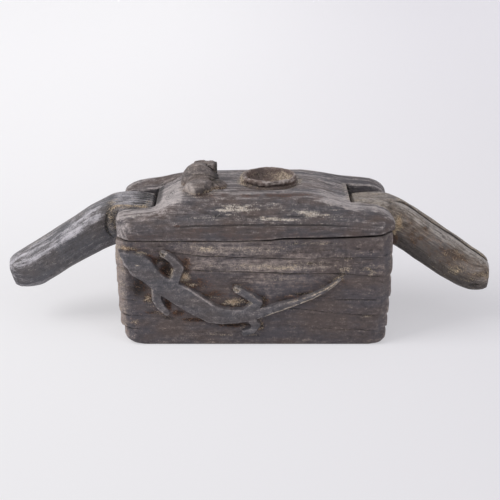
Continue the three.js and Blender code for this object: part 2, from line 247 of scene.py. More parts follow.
def courses(x, y, z, end):
    """How proud the adze courses stand, in mm. Each bulges and laps a little over the one below."""
    lift = 3 * swell(y / 45, x / 300, 0, 11) * end
    away = ease(-60, 40, y)
    lines = [(height + lift + away * 4 * swell(x / 60, 0, i, 13), cut + away * (BACK_CUT - cut))
             for i, (height, cut) in enumerate(ledge_lines(x))]
    tops = [(along(RIM, x), 0)] + lines
    feet = lines + [(0, 0)]
    strength = FRONT_LAP + end * (END_LAP - FRONT_LAP)
    crown = FRONT_BULGE + end * (END_BULGE - FRONT_BULGE)
    proud = 0
    for (high, high_cut), (low, low_cut) in zip(tops, feet):
        share = (z - low) / (high - low)
        inside = (share >= 0) & (share < 1)
        held = np.clip(share, 0, 1)
        lap = low_cut * (1 - held) ** 3 - high_cut * held ** 4
        bulge = (low_cut + high_cut) * (1 - (2 * held - 1) ** 4)
        proud = proud + inside * 0.5 * (strength * lap + crown * bulge)
    return proud


def course_middle(x, z):
    """Middle height of the course that a place on an end wall lies in."""
    edges = [along(RIM, x)] + [height for height, _ in ledge_lines(x)] + [0 * x]
    middle = z
    for high, low in zip(edges, edges[1:]):
        middle = np.where((z >= low) & (z < high), (high + low) / 2, middle)
    return middle


def wall_relief(x, y, z, end):
    """All the outside's unevenness in mm, outwards positive: courses, adze marks, hollows by the lizard."""
    proud = courses(x, y, z, end)
    proud = proud + 0.35 * swell(x / 38, y / 30, z / 14, 21) + 0.18 * swell(x / 16, y / 9, z / 4.5, 22)
    proud = proud + 0.1 * swell(x / 11, y / 5, z / 2.2, 23)
    rough = np.maximum(end, ease(0, 60, y))
    run = np.where(end > 0.5, y, x)
    proud = proud + rough * 0.7 * (scoops(run / 24, z / 15, 24) - 0.35)
    front = ease(70, 74, -y) * (1 - end)
    gap = np.maximum(off_lizard(x, z), 0)
    upper = ease(-4, 6, over_spine(x, z))
    sunk = (SUNK_UNDER + (SUNK_OVER - SUNK_UNDER) * upper) * near(gap, 0, SUNK_REACH)
    sunk = sunk + 0.6 * ease(0.2, 0.8, swell(x / 18, 0, z / 11, 25)) * ease(40, 5, gap)
    for place_x, place_z, reach_x, reach_z, depth in PITS:
        sunk = sunk + depth * near(x, place_x, reach_x) * near(z, place_z, reach_z)
    chips = ease(0.55, 0.8, swell(x / 7, 0, z / 1.6, 26)) * ease(84, 92, z) * 0.45
    return proud - front * (sunk + chips)


def hewn_corners(x, y, left, right, half, inset, step, held):
    """A ring with its four corners cut back in flats, one to a course and each at its own slant."""
    number = np.floor(step / 3).astype(np.int64)
    for side, (flank_x, flank_y) in enumerate([(-1, -1), (1, -1), (1, 1), (-1, 1)]):
        tilt = math.radians(45) + FACET_SLANT * (chance(number, side, 0, 31) - 0.5)
        way_x, way_y = flank_x * np.cos(tilt), flank_y * np.sin(tilt)
        corner_x = np.where(flank_x < 0, left + BOX_CORNER, right - BOX_CORNER)
        corner_y = flank_y * (half - BOX_CORNER)
        cut = FACET_LEAST + FACET_MORE * chance(number, side, 1, 32)
        limit = corner_x * way_x + corner_y * way_y + BOX_CORNER - inset - cut
        over = np.maximum(x * way_x + y * way_y - limit, 0) * held
        x = x - over * way_x
        y = y - over * way_y
    return x, y


def trough_underside(columns):
    """Level rings from under the middle out to the foot."""
    left, right, half = LEFT_END[0][1], RIGHT_END[0][1], HALF_DEPTH - FOOT_INSET[0][1]
    layers = []
    for inset in UNDER_RINGS:
        corner = min(BOX_CORNER, half + 0.5 - inset)
        x, y = rounded(left + inset, right - inset, half - inset, corner, columns)
        layers.append(np.stack([x, y, 0 * x], 1))
    return layers


def trough_outside(columns):
    """Rings up the outside, a millimetre apart. The upper ones spread to follow the rim's rising line."""
    heading = columns[2]
    end = ease(0.35, 0.95, np.abs(np.cos(heading)))
    top_x, _ = rounded(LEFT_END[0][1] - 18, RIGHT_END[0][1] + 13, HALF_DEPTH, BOX_CORNER, columns)
    rim = along(RIM, top_x)
    layers = []
    for height, inset in [(height, 0.0) for height in OUTSIDE_RINGS] + ROUNDED_RINGS:
        low = min(height, STRETCH_FROM)
        z = low + (height - low) * (rim - STRETCH_FROM) / (LOW_RIM - STRETCH_FROM)
        step = course_middle(top_x, z)
        held = ease(6, 14, height)
        left, right = [along(ends, z) + END_STEP * held * (along(ends, step) - along(ends, z))
                       for ends in (LEFT_END, RIGHT_END)]
        half = HALF_DEPTH - along(FOOT_INSET, height)
        x, y = rounded(left + inset, right - inset, half - inset, BOX_CORNER, columns)
        proud = wall_relief(x, y, z, end) * ease(0, 4, height)
        x = x + proud * np.cos(heading)
        y = y + proud * np.sin(heading)
        x, y = hewn_corners(x, y, left, right, half, inset, step, held)
        layers.append(np.stack([x, y, z + 0 * x], 1))
    return layers


def hollow_plan(inset, corner, columns):
    """Plan of a ring inside the trough, that far in from its widest."""
    return rounded(TROUGH_LEFT + inset, TROUGH_RIGHT - inset, TROUGH_HALF - inset, corner, columns)


def trough_inside(edge, columns):
    """Rings from the rim's outer edge over the top, down the gouged walls and in over the floor."""
    heading = columns[2]
    x, y = hollow_plan(along(TROUGH_INSETS, MOUTH_HEIGHT), INSIDE_CORNER, columns)
    mouth = np.stack([x, y, along(RIM, x)], 1)
    layers = []
    for share in RIM_RINGS:
        level = edge + share * (mouth - edge)
        level[:, 2] = along(RIM, level[:, 0]) + 0.15 * swell(level[:, 0] / 9, level[:, 1] / 4, 0, 33)
        layers.append(level)
    for share in INSIDE_RINGS:
        z = mouth[:, 2] - share * (mouth[:, 2] - TROUGH_FLOOR)
        x, y = hollow_plan(along(TROUGH_INSETS, z) - MOUTH_DRAW * (share == 0), INSIDE_CORNER, columns)
        cut = 0.9 * (scoops((x + y) / 20, z / 26, 34) - 0.4) * ease(0, 0.06, share) * ease(1, 0.9, share)
        layers.append(np.stack([x - cut * np.cos(heading), y - cut * np.sin(heading), z], 1))
    for inset in FLOOR_RINGS:
        reach = along(TROUGH_INSETS, TROUGH_FLOOR) + inset
        x, y = hollow_plan(reach, min(INSIDE_CORNER, TROUGH_HALF - reach + 0.5), columns)
        layers.append(np.stack([x, y, TROUGH_FLOOR + 0.7 * (scoops(x / 26, y / 17, 35) - 0.3)], 1))
    return layers


def ring_faces(rings, count):
    """Quads between rings of that many points, laid one after another."""
    faces = []
    for row in range(rings - 1):
        for i in range(count):
            here, after = row * count + i, row * count + (i + 1) % count
            faces.append((here, after, after + count, here + count))
    return faces


def closed_rings(layers, first, last):
    """Closed skin of rings of points, with one more point in the middle of the first ring and of the last."""
    rings, count = len(layers), len(layers[0])
    points = np.concatenate(layers + [[first, last]])
    faces = ring_faces(rings, count)
    edge = (rings - 1) * count
    for i in range(count):
        after = (i + 1) % count
        faces.append((after, i, rings * count))
        faces.append((edge + i, edge + after, rings * count + 1))
    return points, faces


def trough():
    """Closed skin of the trough, from under its middle, up and over, to the middle of the floor inside."""
    columns = ring_columns()
    layers = trough_underside(columns) + trough_outside(columns)
    layers += trough_inside(layers[-1], columns)
    return closed_rings(layers, [7.0, 0, 0], [2.0, 0, TROUGH_FLOOR])


def wear(mesh, rounds):
    """How far each point lies under its smoothed surroundings (above 0) or over them (below 0), in mm."""
    count = len(mesh.vertices)
    spots = np.empty(count * 3)
    mesh.vertices.foreach_get("co", spots)
    spots = spots.reshape(-1, 3) / MM
    normals = np.empty(count * 3)
    mesh.vertex_normals.foreach_get("vector", normals)
    ends = np.empty(len(mesh.edges) * 2, np.int32)
    mesh.edges.foreach_get("vertices", ends)
    one, other = ends.reshape(-1, 2).T
    share = np.bincount(one, minlength=count) + np.bincount(other, minlength=count)
    smooth = spots.copy()
    for _ in range(rounds):
        smooth = np.stack([(np.bincount(one, smooth[other, axis], count)
                            + np.bincount(other, smooth[one, axis], count)) / share for axis in range(3)], 1)
    return ((smooth - spots) * normals.reshape(-1, 3)).sum(1)


def placed(name, data):
    """A new object at the origin, in the scene."""
    made = bpy.data.objects.new(name, data)
    bpy.context.scene.collection.objects.link(made)
    return made


def lay_down(name, points, faces, marks, fibre=None):
    """Makes the piece in metres with its marks of rubbed highs and of hollows, the hollows later darkened
    with soot and painted shade. marks(points, hollow, rub) gives the other marks.
    """
    mesh = bpy.data.meshes.new(name)
    mesh.from_pydata((np.asarray(points) * MM).tolist(), [], [tuple(map(int, face)) for face in faces])
    mesh.update()
    for polygon in mesh.polygons:
        polygon.use_smooth = True
    fine, broad = wear(mesh, 6), wear(mesh, 40)
    hollow = np.clip((fine - 0.02) / 0.25, 0, 1) * 0.6 + np.clip((broad - 0.1) / 1.3, 0, 1) * 0.6
    rub = np.clip((-fine - 0.04) / 0.3, 0, 1) * 0.6 + np.clip((-broad - 0.25) / 1.8, 0, 1) * 0.4
    found = {"hollow": np.clip(hollow, 0, 1), "rub": np.clip(rub, 0, 1)}
    found.update(marks(np.asarray(points), found["hollow"], found["rub"]))
    for title, values in found.items():
        layer = mesh.attributes.new(title, "FLOAT", "POINT")
        layer.data.foreach_set("value", np.asarray(values, np.float32))
    run = np.asarray(points if fibre is None else fibre) * MM
    layer = mesh.attributes.new("fibre", "FLOAT_VECTOR", "POINT")
    layer.data.foreach_set("vector", run.astype(np.float32).ravel())
    return placed(name, mesh)


class Stain:
    """One socket of a finish. Sums and products of it add Math nodes."""

    def __init__(self, tree, socket=None):
        self.tree = tree
        self.socket = socket

    def node(self, kind, settings, sockets, out=0):
        """A node of any type, with its settings first and then its sockets."""
        made = self.tree.nodes.new(kind)
        for key, value in settings.items():
            setattr(made, key, value)
        for key, value in sockets.items():
            if isinstance(value, Stain):
                self.tree.links.new(value.socket, made.inputs[key])
            else:
                made.inputs[key].default_value = value
        return Stain(self.tree, made.outputs[out]) if made.outputs else None

    def maths(self, operation, a, b):
        return self.node("ShaderNodeMath", {"operation": operation}, {0: a, 1: b})

    def __add__(self, other):
        return self.maths("ADD", self, other)

    __radd__ = __add__

    def __sub__(self, other):
        return self.maths("SUBTRACT", self, other)

    def __rsub__(self, other):
        return self.maths("SUBTRACT", other, self)

    def __mul__(self, other):
        return self.maths("MULTIPLY", self, other)

    __rmul__ = __mul__

    def between(self, low, high):
        """0 below low, 1 above high, eased between them."""
        eased = {"interpolation_type": "SMOOTHSTEP"}
        return self.node("ShaderNodeMapRange", eased, {0: self, 1: low, 2: high})

    def blend(self, one, other):
        """One colour where this mask is 0, the other where it is 1."""
        return self.node("ShaderNodeMix", {"data_type": "RGBA"}, {0: self, 6: one, 7: other}, out=2)

    def tint(self, colour, over):
        """This colour with another laid over it where the mask `over` is 1."""
        return over.blend(self, colour)

    def shade(self, strength):
        """This colour made lighter or darker by a factor."""
        return self.node("ShaderNodeVectorMath", {"operation": "SCALE"}, {0: self, "Scale": strength})

    def spots(self, scale, detail, roughness=0.55, warp=0.0):
        """Noise read at this place."""
        return self.node("ShaderNodeTexNoise", {}, {"Vector": self, "Scale": scale, "Detail": detail,
                                                   "Roughness": roughness, "Distortion": warp})

    def stretched(self, x, y, z):
        return self.node("ShaderNodeVectorMath", {"operation": "MULTIPLY"}, {0: self, 1: (x, y, z)})

    def mark(self, title, out="Fac"):
        """Reads one of the piece's own marks."""
        return self.node("ShaderNodeAttribute", {"attribute_name": title}, {}, out=out)


def blank_finish(name):
    """A new material and a Stain to begin its tree from."""
    material = bpy.data.materials.new(name)
    material.use_nodes = True
    material.node_tree.nodes.clear()
    return material, Stain(material.node_tree)


def rgb(red, green, blue):
    """Linear colour from the 0 to 255 values of a screen."""
    def linear(part):
        part = part / 255
        return part / 12.92 if part <= 0.04045 else ((part + 0.055) / 1.055) ** 2.4
    return (linear(red), linear(green), linear(blue), 1.0)


def darker(colour, factor):
    """The colour times a factor, which is over 1 for a lighter one."""
    return tuple(factor * part for part in colour[:3]) + (1.0,)


UMBER = rgb(64, 48, 41)
DARK_GOLD = rgb(150, 104, 62)
# How far the streaks are drawn out along the fibre, and the noise's scales, to a metre.
HAIR_DRAWN, STREAK_DRAWN, PATCH_DRAWN, MOTTLE_DRAWN = (0.07, 1, 1), (0.11, 1, 1), (0.4, 1, 1), (0.75, 1, 1)
HAIR_SCALE, STREAK_SCALE, PATCH_SCALE, MOTTLE_SCALE, GRIT_SCALE = 760, 230, 42, 230, 1150
BUMP_HEIGHT = 0.0006
# Rings of the knot on the lid: radians to a metre, how far out they reach in metres, and how drawn out.
KNOT_RINGS, KNOT_REACH, KNOT_LENGTH = 2500.0, 0.0068, 0.38


def knot_rings(place, mottle, knot):
    """Mask of the dark rings round a knot at that place."""
    middle = (knot[0], knot[1] * KNOT_LENGTH, knot[2])
    drawn = place.stretched(1, KNOT_LENGTH, 1)
    far = place.node("ShaderNodeVectorMath", {"operation": "DISTANCE"}, {0: drawn, 1: middle}, out="Value")
    ring = far.maths("SINE", far * KNOT_RINGS + 2.4 * (mottle - 0.5), 0)
    return ring.between(-0.2, 0.9) * (1 - far.between(KNOT_REACH * 0.75, KNOT_REACH))


def smoked_wood(name, deep, cool, worn, dust, earth, gloss=0.5, streaky=1.0, knot=None):
    """Dark oiled hardwood: brown and blue-grey patches, soft streaks and flecks along the fibre, rubbed
    highs, dust as a pale crust and earth as a red-brown one, each where its mark says. On some pieces the rub
    mark also carries painted highlight and sheen, and the hollow mark darkens with soot and painted shade."""
    material, begin = blank_finish(name)
    place = begin.mark("fibre", out="Vector")
    hair = place.stretched(*HAIR_DRAWN).spots(HAIR_SCALE, 3, 0.6, 0.2).between(0.3, 0.7)
    hair = streaky * (hair - 0.5)
    streak = place.stretched(*STREAK_DRAWN).spots(STREAK_SCALE, 4, 0.6, 0.5).between(0.32, 0.68)
    streak = streaky * (streak - 0.5)
    patch = place.stretched(*PATCH_DRAWN).spots(PATCH_SCALE, 4, 0.6).between(0.36, 0.64)
    mottle = place.stretched(*MOTTLE_DRAWN).spots(MOTTLE_SCALE, 5, 0.7).between(0.3, 0.7)
    grit = place.spots(GRIT_SCALE, 3, 0.7).between(0.3, 0.7)

    colour = patch.blend(deep, cool)
    colour = colour.shade(0.76 + 0.16 * streak + 0.16 * hair + 0.22 * mottle + 0.24 * grit)
    noise = 0.35 * hair + 0.35 * streak + 0.35 * (mottle - 0.5) + 0.3 * (grit - 0.5)
    rubbed = (begin.mark("rub") + noise).between(0.06, 1.12)
    bare = 0.4 * mottle + 0.4 * grit + 0.35 * streak + 0.25 * hair + 0.1
    colour = colour.tint(bare.blend(darker(worn, 0.45), darker(worn, 1.35)), rubbed)
    fleck = (0.75 * grit + 0.3 * mottle).between(0.8, 0.98)
    colour = colour.tint(worn, fleck * (0.12 + 0.9 * begin.mark("rub")).between(0, 1))
    # Soot in the hollows and painted shade: recesses, ledges, lips and the gaps between parts are darkened
    # here through the hollow mark.
    soot_and_painted_shade = (begin.mark("hollow") + 0.4 * (mottle - 0.5)).between(0.1, 0.95)
    pitted = (0.6 * grit + 0.5 * mottle + 0.3 * hair).between(0.3, 0.1)
    colour = colour.shade((1 - 0.7 * soot_and_painted_shade) * (1 - 0.4 * pitted))
    soil = (begin.mark("earth") + 0.5 * (mottle - 0.5) + 0.3 * (grit - 0.5)).between(0.2, 0.95)
    ember = (0.8 * grit + 0.4 * mottle).between(0.62, 1.1)
    colour = colour.tint(ember.blend(UMBER, earth), 0.85 * soil).shade(1 - 0.3 * soot_and_painted_shade)
    grains = 0.5 * (mottle - 0.5) + 1.1 * (grit - 0.5) + 0.3 * streak + 0.25 * hair
    caked = (begin.mark("dust") + grains).between(0.42, 1.2)
    under = soil.blend(darker(dust, 0.36), DARK_GOLD)
    crust = (0.7 * grit + 0.3 * mottle).between(0.35, 0.75).blend(under, dust)
    colour = colour.tint(crust, 0.95 * caked)

    roughness = gloss + 0.14 * (mottle - 0.5) - 0.1 * rubbed + 0.32 * caked + 0.18 * soot_and_painted_shade
    height = 0.35 * hair + 0.5 * streak + 0.6 * mottle + 0.3 * grit + 0.7 * caked - 0.4 * pitted
    if knot:
        ring = knot_rings(place, mottle, knot)
        colour = colour.shade(1 - 0.6 * ring)
        height = height - 1.1 * ring
    bump = begin.node("ShaderNodeBump", {}, {"Height": height, "Distance": BUMP_HEIGHT, "Strength": 0.8})
    skin = begin.node("ShaderNodeBsdfPrincipled", {}, {"Base Color": colour, "Roughness": roughness,
                                                       "Normal": bump, "Specular IOR Level": 0.45})
    begin.node("ShaderNodeOutputMaterial", {}, {"Surface": skin})
    return material


SOOT_BROWN = rgb(96, 84, 81)
BLUE_BLACK = rgb(87, 82, 87)
WORN_GREY = rgb(174, 160, 154)
TAN_CRUST = rgb(238, 218, 192)
ORANGE_EARTH = rgb(150, 92, 54)

# Patches of tan crust, of rubbed wood and of orange earth on the front. Each is X, height, reach along X,
# reach in height and strength.
FRONT_DUST = [
    (-5, 114, 60, 5, 0.45), (30, 94.5, 70, 4.5, 0.55), (34, 93, 24, 3, 0.9), (-4, 95.5, 14, 3, 0.7),
    (104, 91, 8, 5, 0.8), (126, 92, 9, 3, 0.7), (134, 88, 4, 4, 0.6), (31, 79.5, 24, 3, 0.5),
    (-47, 115, 12, 4, 0.85), (-62, 118, 6, 2, 0.6), (-72, 81, 5.5, 5, 1.4), (-17.5, 51, 12, 4.5, 1.25),
    (-134, 115, 9, 2.5, 1.2), (-120, 109.5, 9, 2, 1.15), (-128.5, 28.5, 4, 3.5, 0.6), (-86.5, 87, 2, 7, 0.9),
    (66, 62, 14, 2, 0.4), (-13, 69, 6, 3, 0.8), (-95, 107, 6, 4, 0.6), (60, 121, 40, 1.5, 0.6),
    (112, 103, 16, 8, 0.25), (-70, 121, 30, 2, 0.35), (14, 54, 4, 5, 0.6), (13, 22, 4, 6, 0.55),
    (130, 35, 6, 1.2, 0.7), (-31, 12.5, 12, 2, 0.5), (3, 12.5, 10, 2, 0.6), (70, 98, 22, 3, 0.55),
    (12, 31, 3, 3, 0.6), (-114, 56, 4, 5, 0.75), (-94.8, 37.5, 4, 3, 0.7), (-8, 22, 5, 2, 0.55),
    (-52, 70, 4, 3, 0.45), (-103, 39, 5, 2, 0.6), (-64, 72, 9, 2.5, 0.55), (-42, 57, 12, 2.5, 0.5),
    (98, 80, 7, 4, 0.7), (84, 70, 6, 2, 0.6), (-79, 90, 3, 6, 0.6), (-88, 82, 3, 3, 0.8), (14, 47, 4, 2, 0.6),
    (-112, 52, 4, 5, 0.7),
]
FRONT_BRIGHT = [
    (10, 95, 70, 9, 0.72), (-20, 114, 60, 8, 0.68), (30, 80, 50, 9, 0.46), (30, 93, 60, 4, 0.9),
    (90, 112, 50, 9, 0.18), (0, 66, 50, 8, 0.22), (-50, 100, 20, 10, 0.42), (-40, 10, 60, 7, 0.1),
    (60, 104, 30, 9, 0.44),
]
FRONT_EARTH = [
    (-72, 83, 8, 8, 0.75), (-17, 52, 17, 7, 0.8), (-132, 115, 14, 4, 0.65), (-112, 106, 12, 5, 0.5),
    (-114, 57, 5, 7, 1.1), (-106, 39, 13, 3, 0.7), (-129, 29, 7, 5, 0.5), (-60, 73, 18, 8, 0.9),
    (-38, 61, 14, 7, 0.8), (-18, 24, 14, 2.6, 1.2), (-91, 49, 4.5, 8, 1.2), (-80, 38.5, 7, 4, 1.2),
    (-64, 30, 14, 3, 1.0), (-92, 90, 7, 10, 1.3), (-70, 97, 5, 9, 0.9), (-105, 100, 7, 6, 0.7),
    (-120, 70, 9, 11, 0.75), (16, 53, 5, 7, 0.9), (50, 58, 30, 2.5, 0.6), (105, 76, 5, 4, 0.6),
    (13, 22, 5, 7, 0.6), (-60, 123, 25, 2, 0.3), (50, 75, 50, 9, 0.3), (-6, 67, 12, 6, 0.5),
]


def patches(x, z, places):
    """Strongest of several soft-edged patches at each place."""
    best = 0 * x
    for place_x, place_z, reach_x, reach_z, strength in places:
        best = np.maximum(best, strength * near(x, place_x, reach_x) * near(z, place_z, reach_z))
    return best


def box_marks(points, hollow, rub):
    """Where the trough is dusty, earthy, rubbed and sooty, and where shade is painted under its ledges and
    under the lid's edge.
    """
    x, y, z = points.T
    front = ease(66, 73, -y)
    left_end = ease(-134, -141, x)
    inside = ease(-96, -92, x) * ease(102, 98, x) * ease(56, 53, np.abs(y)) * ease(15, 19, z)
    gap = off_lizard(x, z)
    upper = ease(-4, 6, over_spine(x, z))
    beside = front * (0.3 + 0.7 * upper) * ease(5, 0, gap) * ease(-0.4, 0.6, swell(x / 10, 0, z / 10, 43))
    outer = ease(60, 72, np.hypot(y, np.maximum(np.abs(x) - 80, 0)))
    # Painted shade along the top of the outer wall, where the lid sits on the trough.
    shade_under_lid = near(along(RIM, x) - z, 0, 1.2) * outer
    corner = ease(-126, -138, x) * ease(30, 60, -y)
    broken = 0.25 + 0.75 * ease(-0.4, 0.4, swell(x / 25, 0, z / 12, 44))
    # Painted shadow: a dark line under each ledge on the front, and under each course's flat at the left
    # corner.
    ledge_shadow = 0 * x
    for height, cut in ledge_lines(x):
        below = z - height + 0.4 * swell(x / 8, 0, 0, 45)
        ledge_shadow = ledge_shadow + front * cut * broken * near(below, 0, 0.75)
        ledge_shadow = ledge_shadow + 0.55 * corner * broken * near(below, -1, 1.8) * ease(106, 98, z)
    dust = front * patches(x, z, FRONT_DUST) + 0.15 * hollow + inside * 0.2
    dust = dust + 0.4 * left_end * ease(-0.5, 0.6, swell(y / 9, 0, z / 6, 41))
    dust = dust + (1 - front) * 0.3 * ease(0.1, 0.7, swell(x / 40, y / 20, z / 5, 42))
    pits = front * patches(x, z, [(*pit, 0.27 * depth) for *pit, depth in PITS])
    earth = front * patches(x, z, FRONT_EARTH) * (1 - 0.3 * np.clip(pits, 0, 1))
    earth = earth + 0.15 * hollow + 0.3 * left_end + 0.5 * beside
    rubbed = (0.5 - 0.3 * front) * rub + 0.4 * left_end + front * patches(x, z, FRONT_BRIGHT) + 0.05
    rubbed = rubbed + 0.25 * corner * ease(-137, -142, x)
    return {"dust": dust, "earth": earth, "rub": rubbed,
            "hollow": 0.8 * hollow + 0.12 * beside + pits + 0.6 * shade_under_lid + 0.6 * ledge_shadow}


box = lay_down("trough", *trough(), box_marks)
box.data.materials.append(smoked_wood("smoked_box_wood", SOOT_BROWN, BLUE_BLACK, WORN_GREY, TAN_CRUST,
                                      ORANGE_EARTH, streaky=0.55))
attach(box, "box")
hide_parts("box_body")


# The lizard itself: a flat-backed relief left standing about five millimetres from the wall, its back
# crowned, its edges cut steeply with a knife. Hands and tail are pale where they are rubbed, and pale lines
# along its cheek, shoulder and tail are painted highlights laid with dust.
RELIEF, ROOTED = 5.2, 3.0
WALL = -HALF_DEPTH
LIZARD_MARGIN = 1.6
LIZARD_STEP = 0.75
SETTLE_ROUNDS, SLOPE_REACH = 3, 0.05
EYE_X, EYE_Z = -122.5, 98.0
LIZARD_BROWN = rgb(95, 88, 88)
LIZARD_BLUE = rgb(89, 87, 92)
LIZARD_WORN = rgb(182, 173, 173)
LIZARD_CRUST = rgb(240, 224, 204)


def along_trunk(x, z):
    """1 in the middle of the body and head, 0 on the limbs and the end of the tail."""
    return ease(9, -6, off_limb(x, z, LIMBS["trunk"])) * ease(60, -20, x)


def relief(x, z):
    """How far the lizard stands out from the wall, in mm: a steep cut side, a bevel, and a flat back."""
    inside = -off_lizard(x, z) + 0.3 * swell(x / 7, 0, z / 7, 51)
    rise = RELIEF * (0.76 + 0.24 * along_trunk(x, z))
    height = rise * (0.88 * np.clip(inside / 0.9, -1, 1) + 0.12 * ease(0.8, 3.2, inside))
    crown = 0.4 * ease(3, 11, inside)
    knife = -0.35 * (scoops((x + 1.3 * z) / 26, (x - 0.8 * z) / 15, 52) - 0.35)
    knife = knife + 0.08 * swell(x / 9, 0, z / 2, 53)
    groove = 0.9 * near(over_spine(x, z), -1, 0.9) * ease(45, 65, x)
    eye = 0.8 * near(x, EYE_X, 2) * near(z, EYE_Z, 2)
    return height + (crown + knife - groove) * ease(0.6, 2.4, inside) + eye


def lizard_depth(x, y, z):
    """Below 0 in the relief's wood: in front it ends at the carved face, behind a little inside the wall."""
    face = (WALL - relief(x, z) - y) * 0.6
    back = y - (WALL + ROOTED)
    return np.maximum(face, np.maximum(back, off_lizard(x, z) - LIZARD_MARGIN))


def lattice_quads(wood, number, axis):
    """Quads across one axis, each where wood meets air, between the numbered cells round it."""
    cells = number.shape
    u, v = (axis + 1) % 3, (axis + 2) % 3
    lower, upper = [slice(None)] * 3, [slice(None)] * 3
    lower[axis], upper[axis] = slice(None, -1), slice(1, None)
    changed = np.stack(np.nonzero(wood[tuple(lower)] != wood[tuple(upper)]), 1)
    changed = changed[(changed[:, u] > 0) & (changed[:, v] > 0)
                      & (changed[:, u] < cells[u]) & (changed[:, v] < cells[v])]
    step_u, step_v = np.eye(3, dtype=int)[u], np.eye(3, dtype=int)[v]
    loop = [changed, changed - step_u, changed - step_u - step_v, changed - step_v]
    quad = np.stack([number[tuple(place.T)] for place in loop], 1)
    outward = wood[tuple(changed.T)]
    return [quad[outward], quad[~outward][:, ::-1]]


def settled(points, depth, step):
    """The points moved along the slope of depth until they lie on the skin, where it is 0."""
    for _ in range(SETTLE_ROUNDS):
        slope = np.stack([(depth(*(points + way).T) - depth(*(points - way).T)) / (2 * SLOPE_REACH)
                          for way in SLOPE_REACH * np.eye(3)], 1)
        move = depth(*points.T)[:, None] * slope / np.maximum((slope ** 2).sum(1), 0.2)[:, None]
        length = np.linalg.norm(move, axis=1, keepdims=True)
        points = points - move * np.minimum(1, 0.45 * step / np.maximum(length, 1e-9))
    return points


def carve(depth, low, high, step):
    """Closed quads round the wood, where depth(x, y, z) is below 0, on a lattice of that step in mm."""
    axes = [np.arange(start - 1.5 * step, stop + 1.6 * step, step) for start, stop in zip(low, high)]
    value = depth(*np.meshgrid(*axes, indexing="ij", sparse=True))
    wood = value < 0
    cells = tuple(size - 1 for size in value.shape)
    corners = [(i, j, k) for i in (0, 1) for j in (0, 1) for k in (0, 1)]
    count = np.zeros(cells, np.int8)
    for i, j, k in corners:
        count += wood[i:i + cells[0], j:j + cells[1], k:k + cells[2]]
    skin = (count > 0) & (count < 8)
    number = np.full(cells, -1, np.int64)
    number[skin] = np.arange(skin.sum())
    base = np.stack(np.nonzero(skin), 1)
    total, found = np.zeros((len(base), 3)), np.zeros(len(base))
    edges = [(axis, corner) for axis in range(3) for corner in corners if not corner[axis]]
    for axis, corner in edges:
        start = base + corner
        stop = start.copy()
        stop[:, axis] += 1
        a, b = value[tuple(start.T)], value[tuple(stop.T)]
        crossed = (a < 0) != (b < 0)
        spot = start[crossed].astype(float)
        spot[:, axis] += a[crossed] / (a[crossed] - b[crossed])
        total[crossed] += spot
        found[crossed] += 1
    points = total / found[:, None] * step + [axis[0] for axis in axes]
    faces = [quads for axis in range(3) for quads in lattice_quads(wood, number, axis)]
    return settled(points, depth, step), np.concatenate(faces)


def lizard_marks(points, hollow, rub):
    """Where the lizard is dusty, earthy, rubbed and sooty, and where highlights are painted on its edges."""
    x, _, z = points.T
    gap = off_lizard(x, z)
    above = over_spine(x, z)
    low, high = ease(0, -1, above), ease(0, 1, above)
    belly = ease(0, -4, above)
    side = ease(-1.2, 0.2, gap)
    arris = near(gap, -1.4, 0.9)
    broken = ease(-0.5, 0.4, swell(x / 12, 0, z / 12, 54))
    # Painted highlight with dust: a pale line along the upper edge of the body.
    shoulder_highlight = arris * ease(-76, -68, x) * ease(-36, -46, x) * high
    # Painted highlight: the lower edge of the head catches the lamp and is made paler here.
    lit_cheek = ease(-4.5, -1.5, gap) * patches(x, z, [(-136, 98, 9, 11, 1.0), (-130, 92, 6, 7, 1.0)]) * belly
    shin = ease(-4, -1.2, gap) * patches(x, z, [(-109, 62, 4, 13, 1.0), (-99, 43, 5, 6, 0.9)]) * belly
    hands = patches(x, z, [(-95, 109, 5, 3.5, 1.0), (-15, 67.5, 4, 3, 1.3)])
    elbows = ease(-3.5, -1.0, gap) * patches(x, z, [(-85, 86, 3, 8, 1.0), (0, 54, 6, 4, 1.0)])
    thigh = arris * patches(x, z, [(4, 58, 12, 12, 1.0)])
    # Painted highlights with dust along both edges of the tail, the upper one with earth too.
    tail = ease(5, 25, x) * ease(-0.9, -0.1, swell(x / 5, 0, z / 5, 55))
    tail_low_highlight = tail * low * near(gap, -1.4, 0.8)
    tail_high_highlight = tail * high * near(gap, -1.1, 0.7) * ease(20, 60, x)
    eye = patches(x, z, [(-123.3, EYE_Z, 2.4, 0.9, 1.3)])
    dust = 0.7 * side * patches(x, z, FRONT_DUST) + 0.8 * hands + 1.7 * tail_low_highlight + 1.1 * tail_high_highlight
    dust = dust + 0.7 * elbows + 0.5 * shin + 0.9 * eye + 0.5 * shoulder_highlight + 0.5 * thigh * broken
    earth = side * patches(x, z, FRONT_EARTH) + 0.7 * tail_high_highlight + 0.5 * thigh
    worn = 0.16 + 0.2 * rub + 0.15 * arris * broken + 0.8 * shoulder_highlight + 0.4 * lit_cheek + 0.3 * shin + 0.3 * hands
    return {"dust": dust, "earth": earth, "rub": worn + 0.8 * tail_low_highlight + 0.3 * tail_high_highlight,
            "hollow": 0.5 * hollow + 0.35 * ease(-0.5, 0.8, gap)}


lizard_skin = carve(lizard_depth, (-149, -84, 7), (108, WALL + 3.5, 119), LIZARD_STEP)
lizard = lay_down("lizard", *lizard_skin, lizard_marks)
lizard.data.materials.append(smoked_wood("rubbed_lizard_wood", LIZARD_BROWN, LIZARD_BLUE, LIZARD_WORN,
                                         LIZARD_CRUST, ORANGE_EARTH, gloss=0.46, streaky=0.35))
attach(lizard, "box")
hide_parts("lizard_relief")
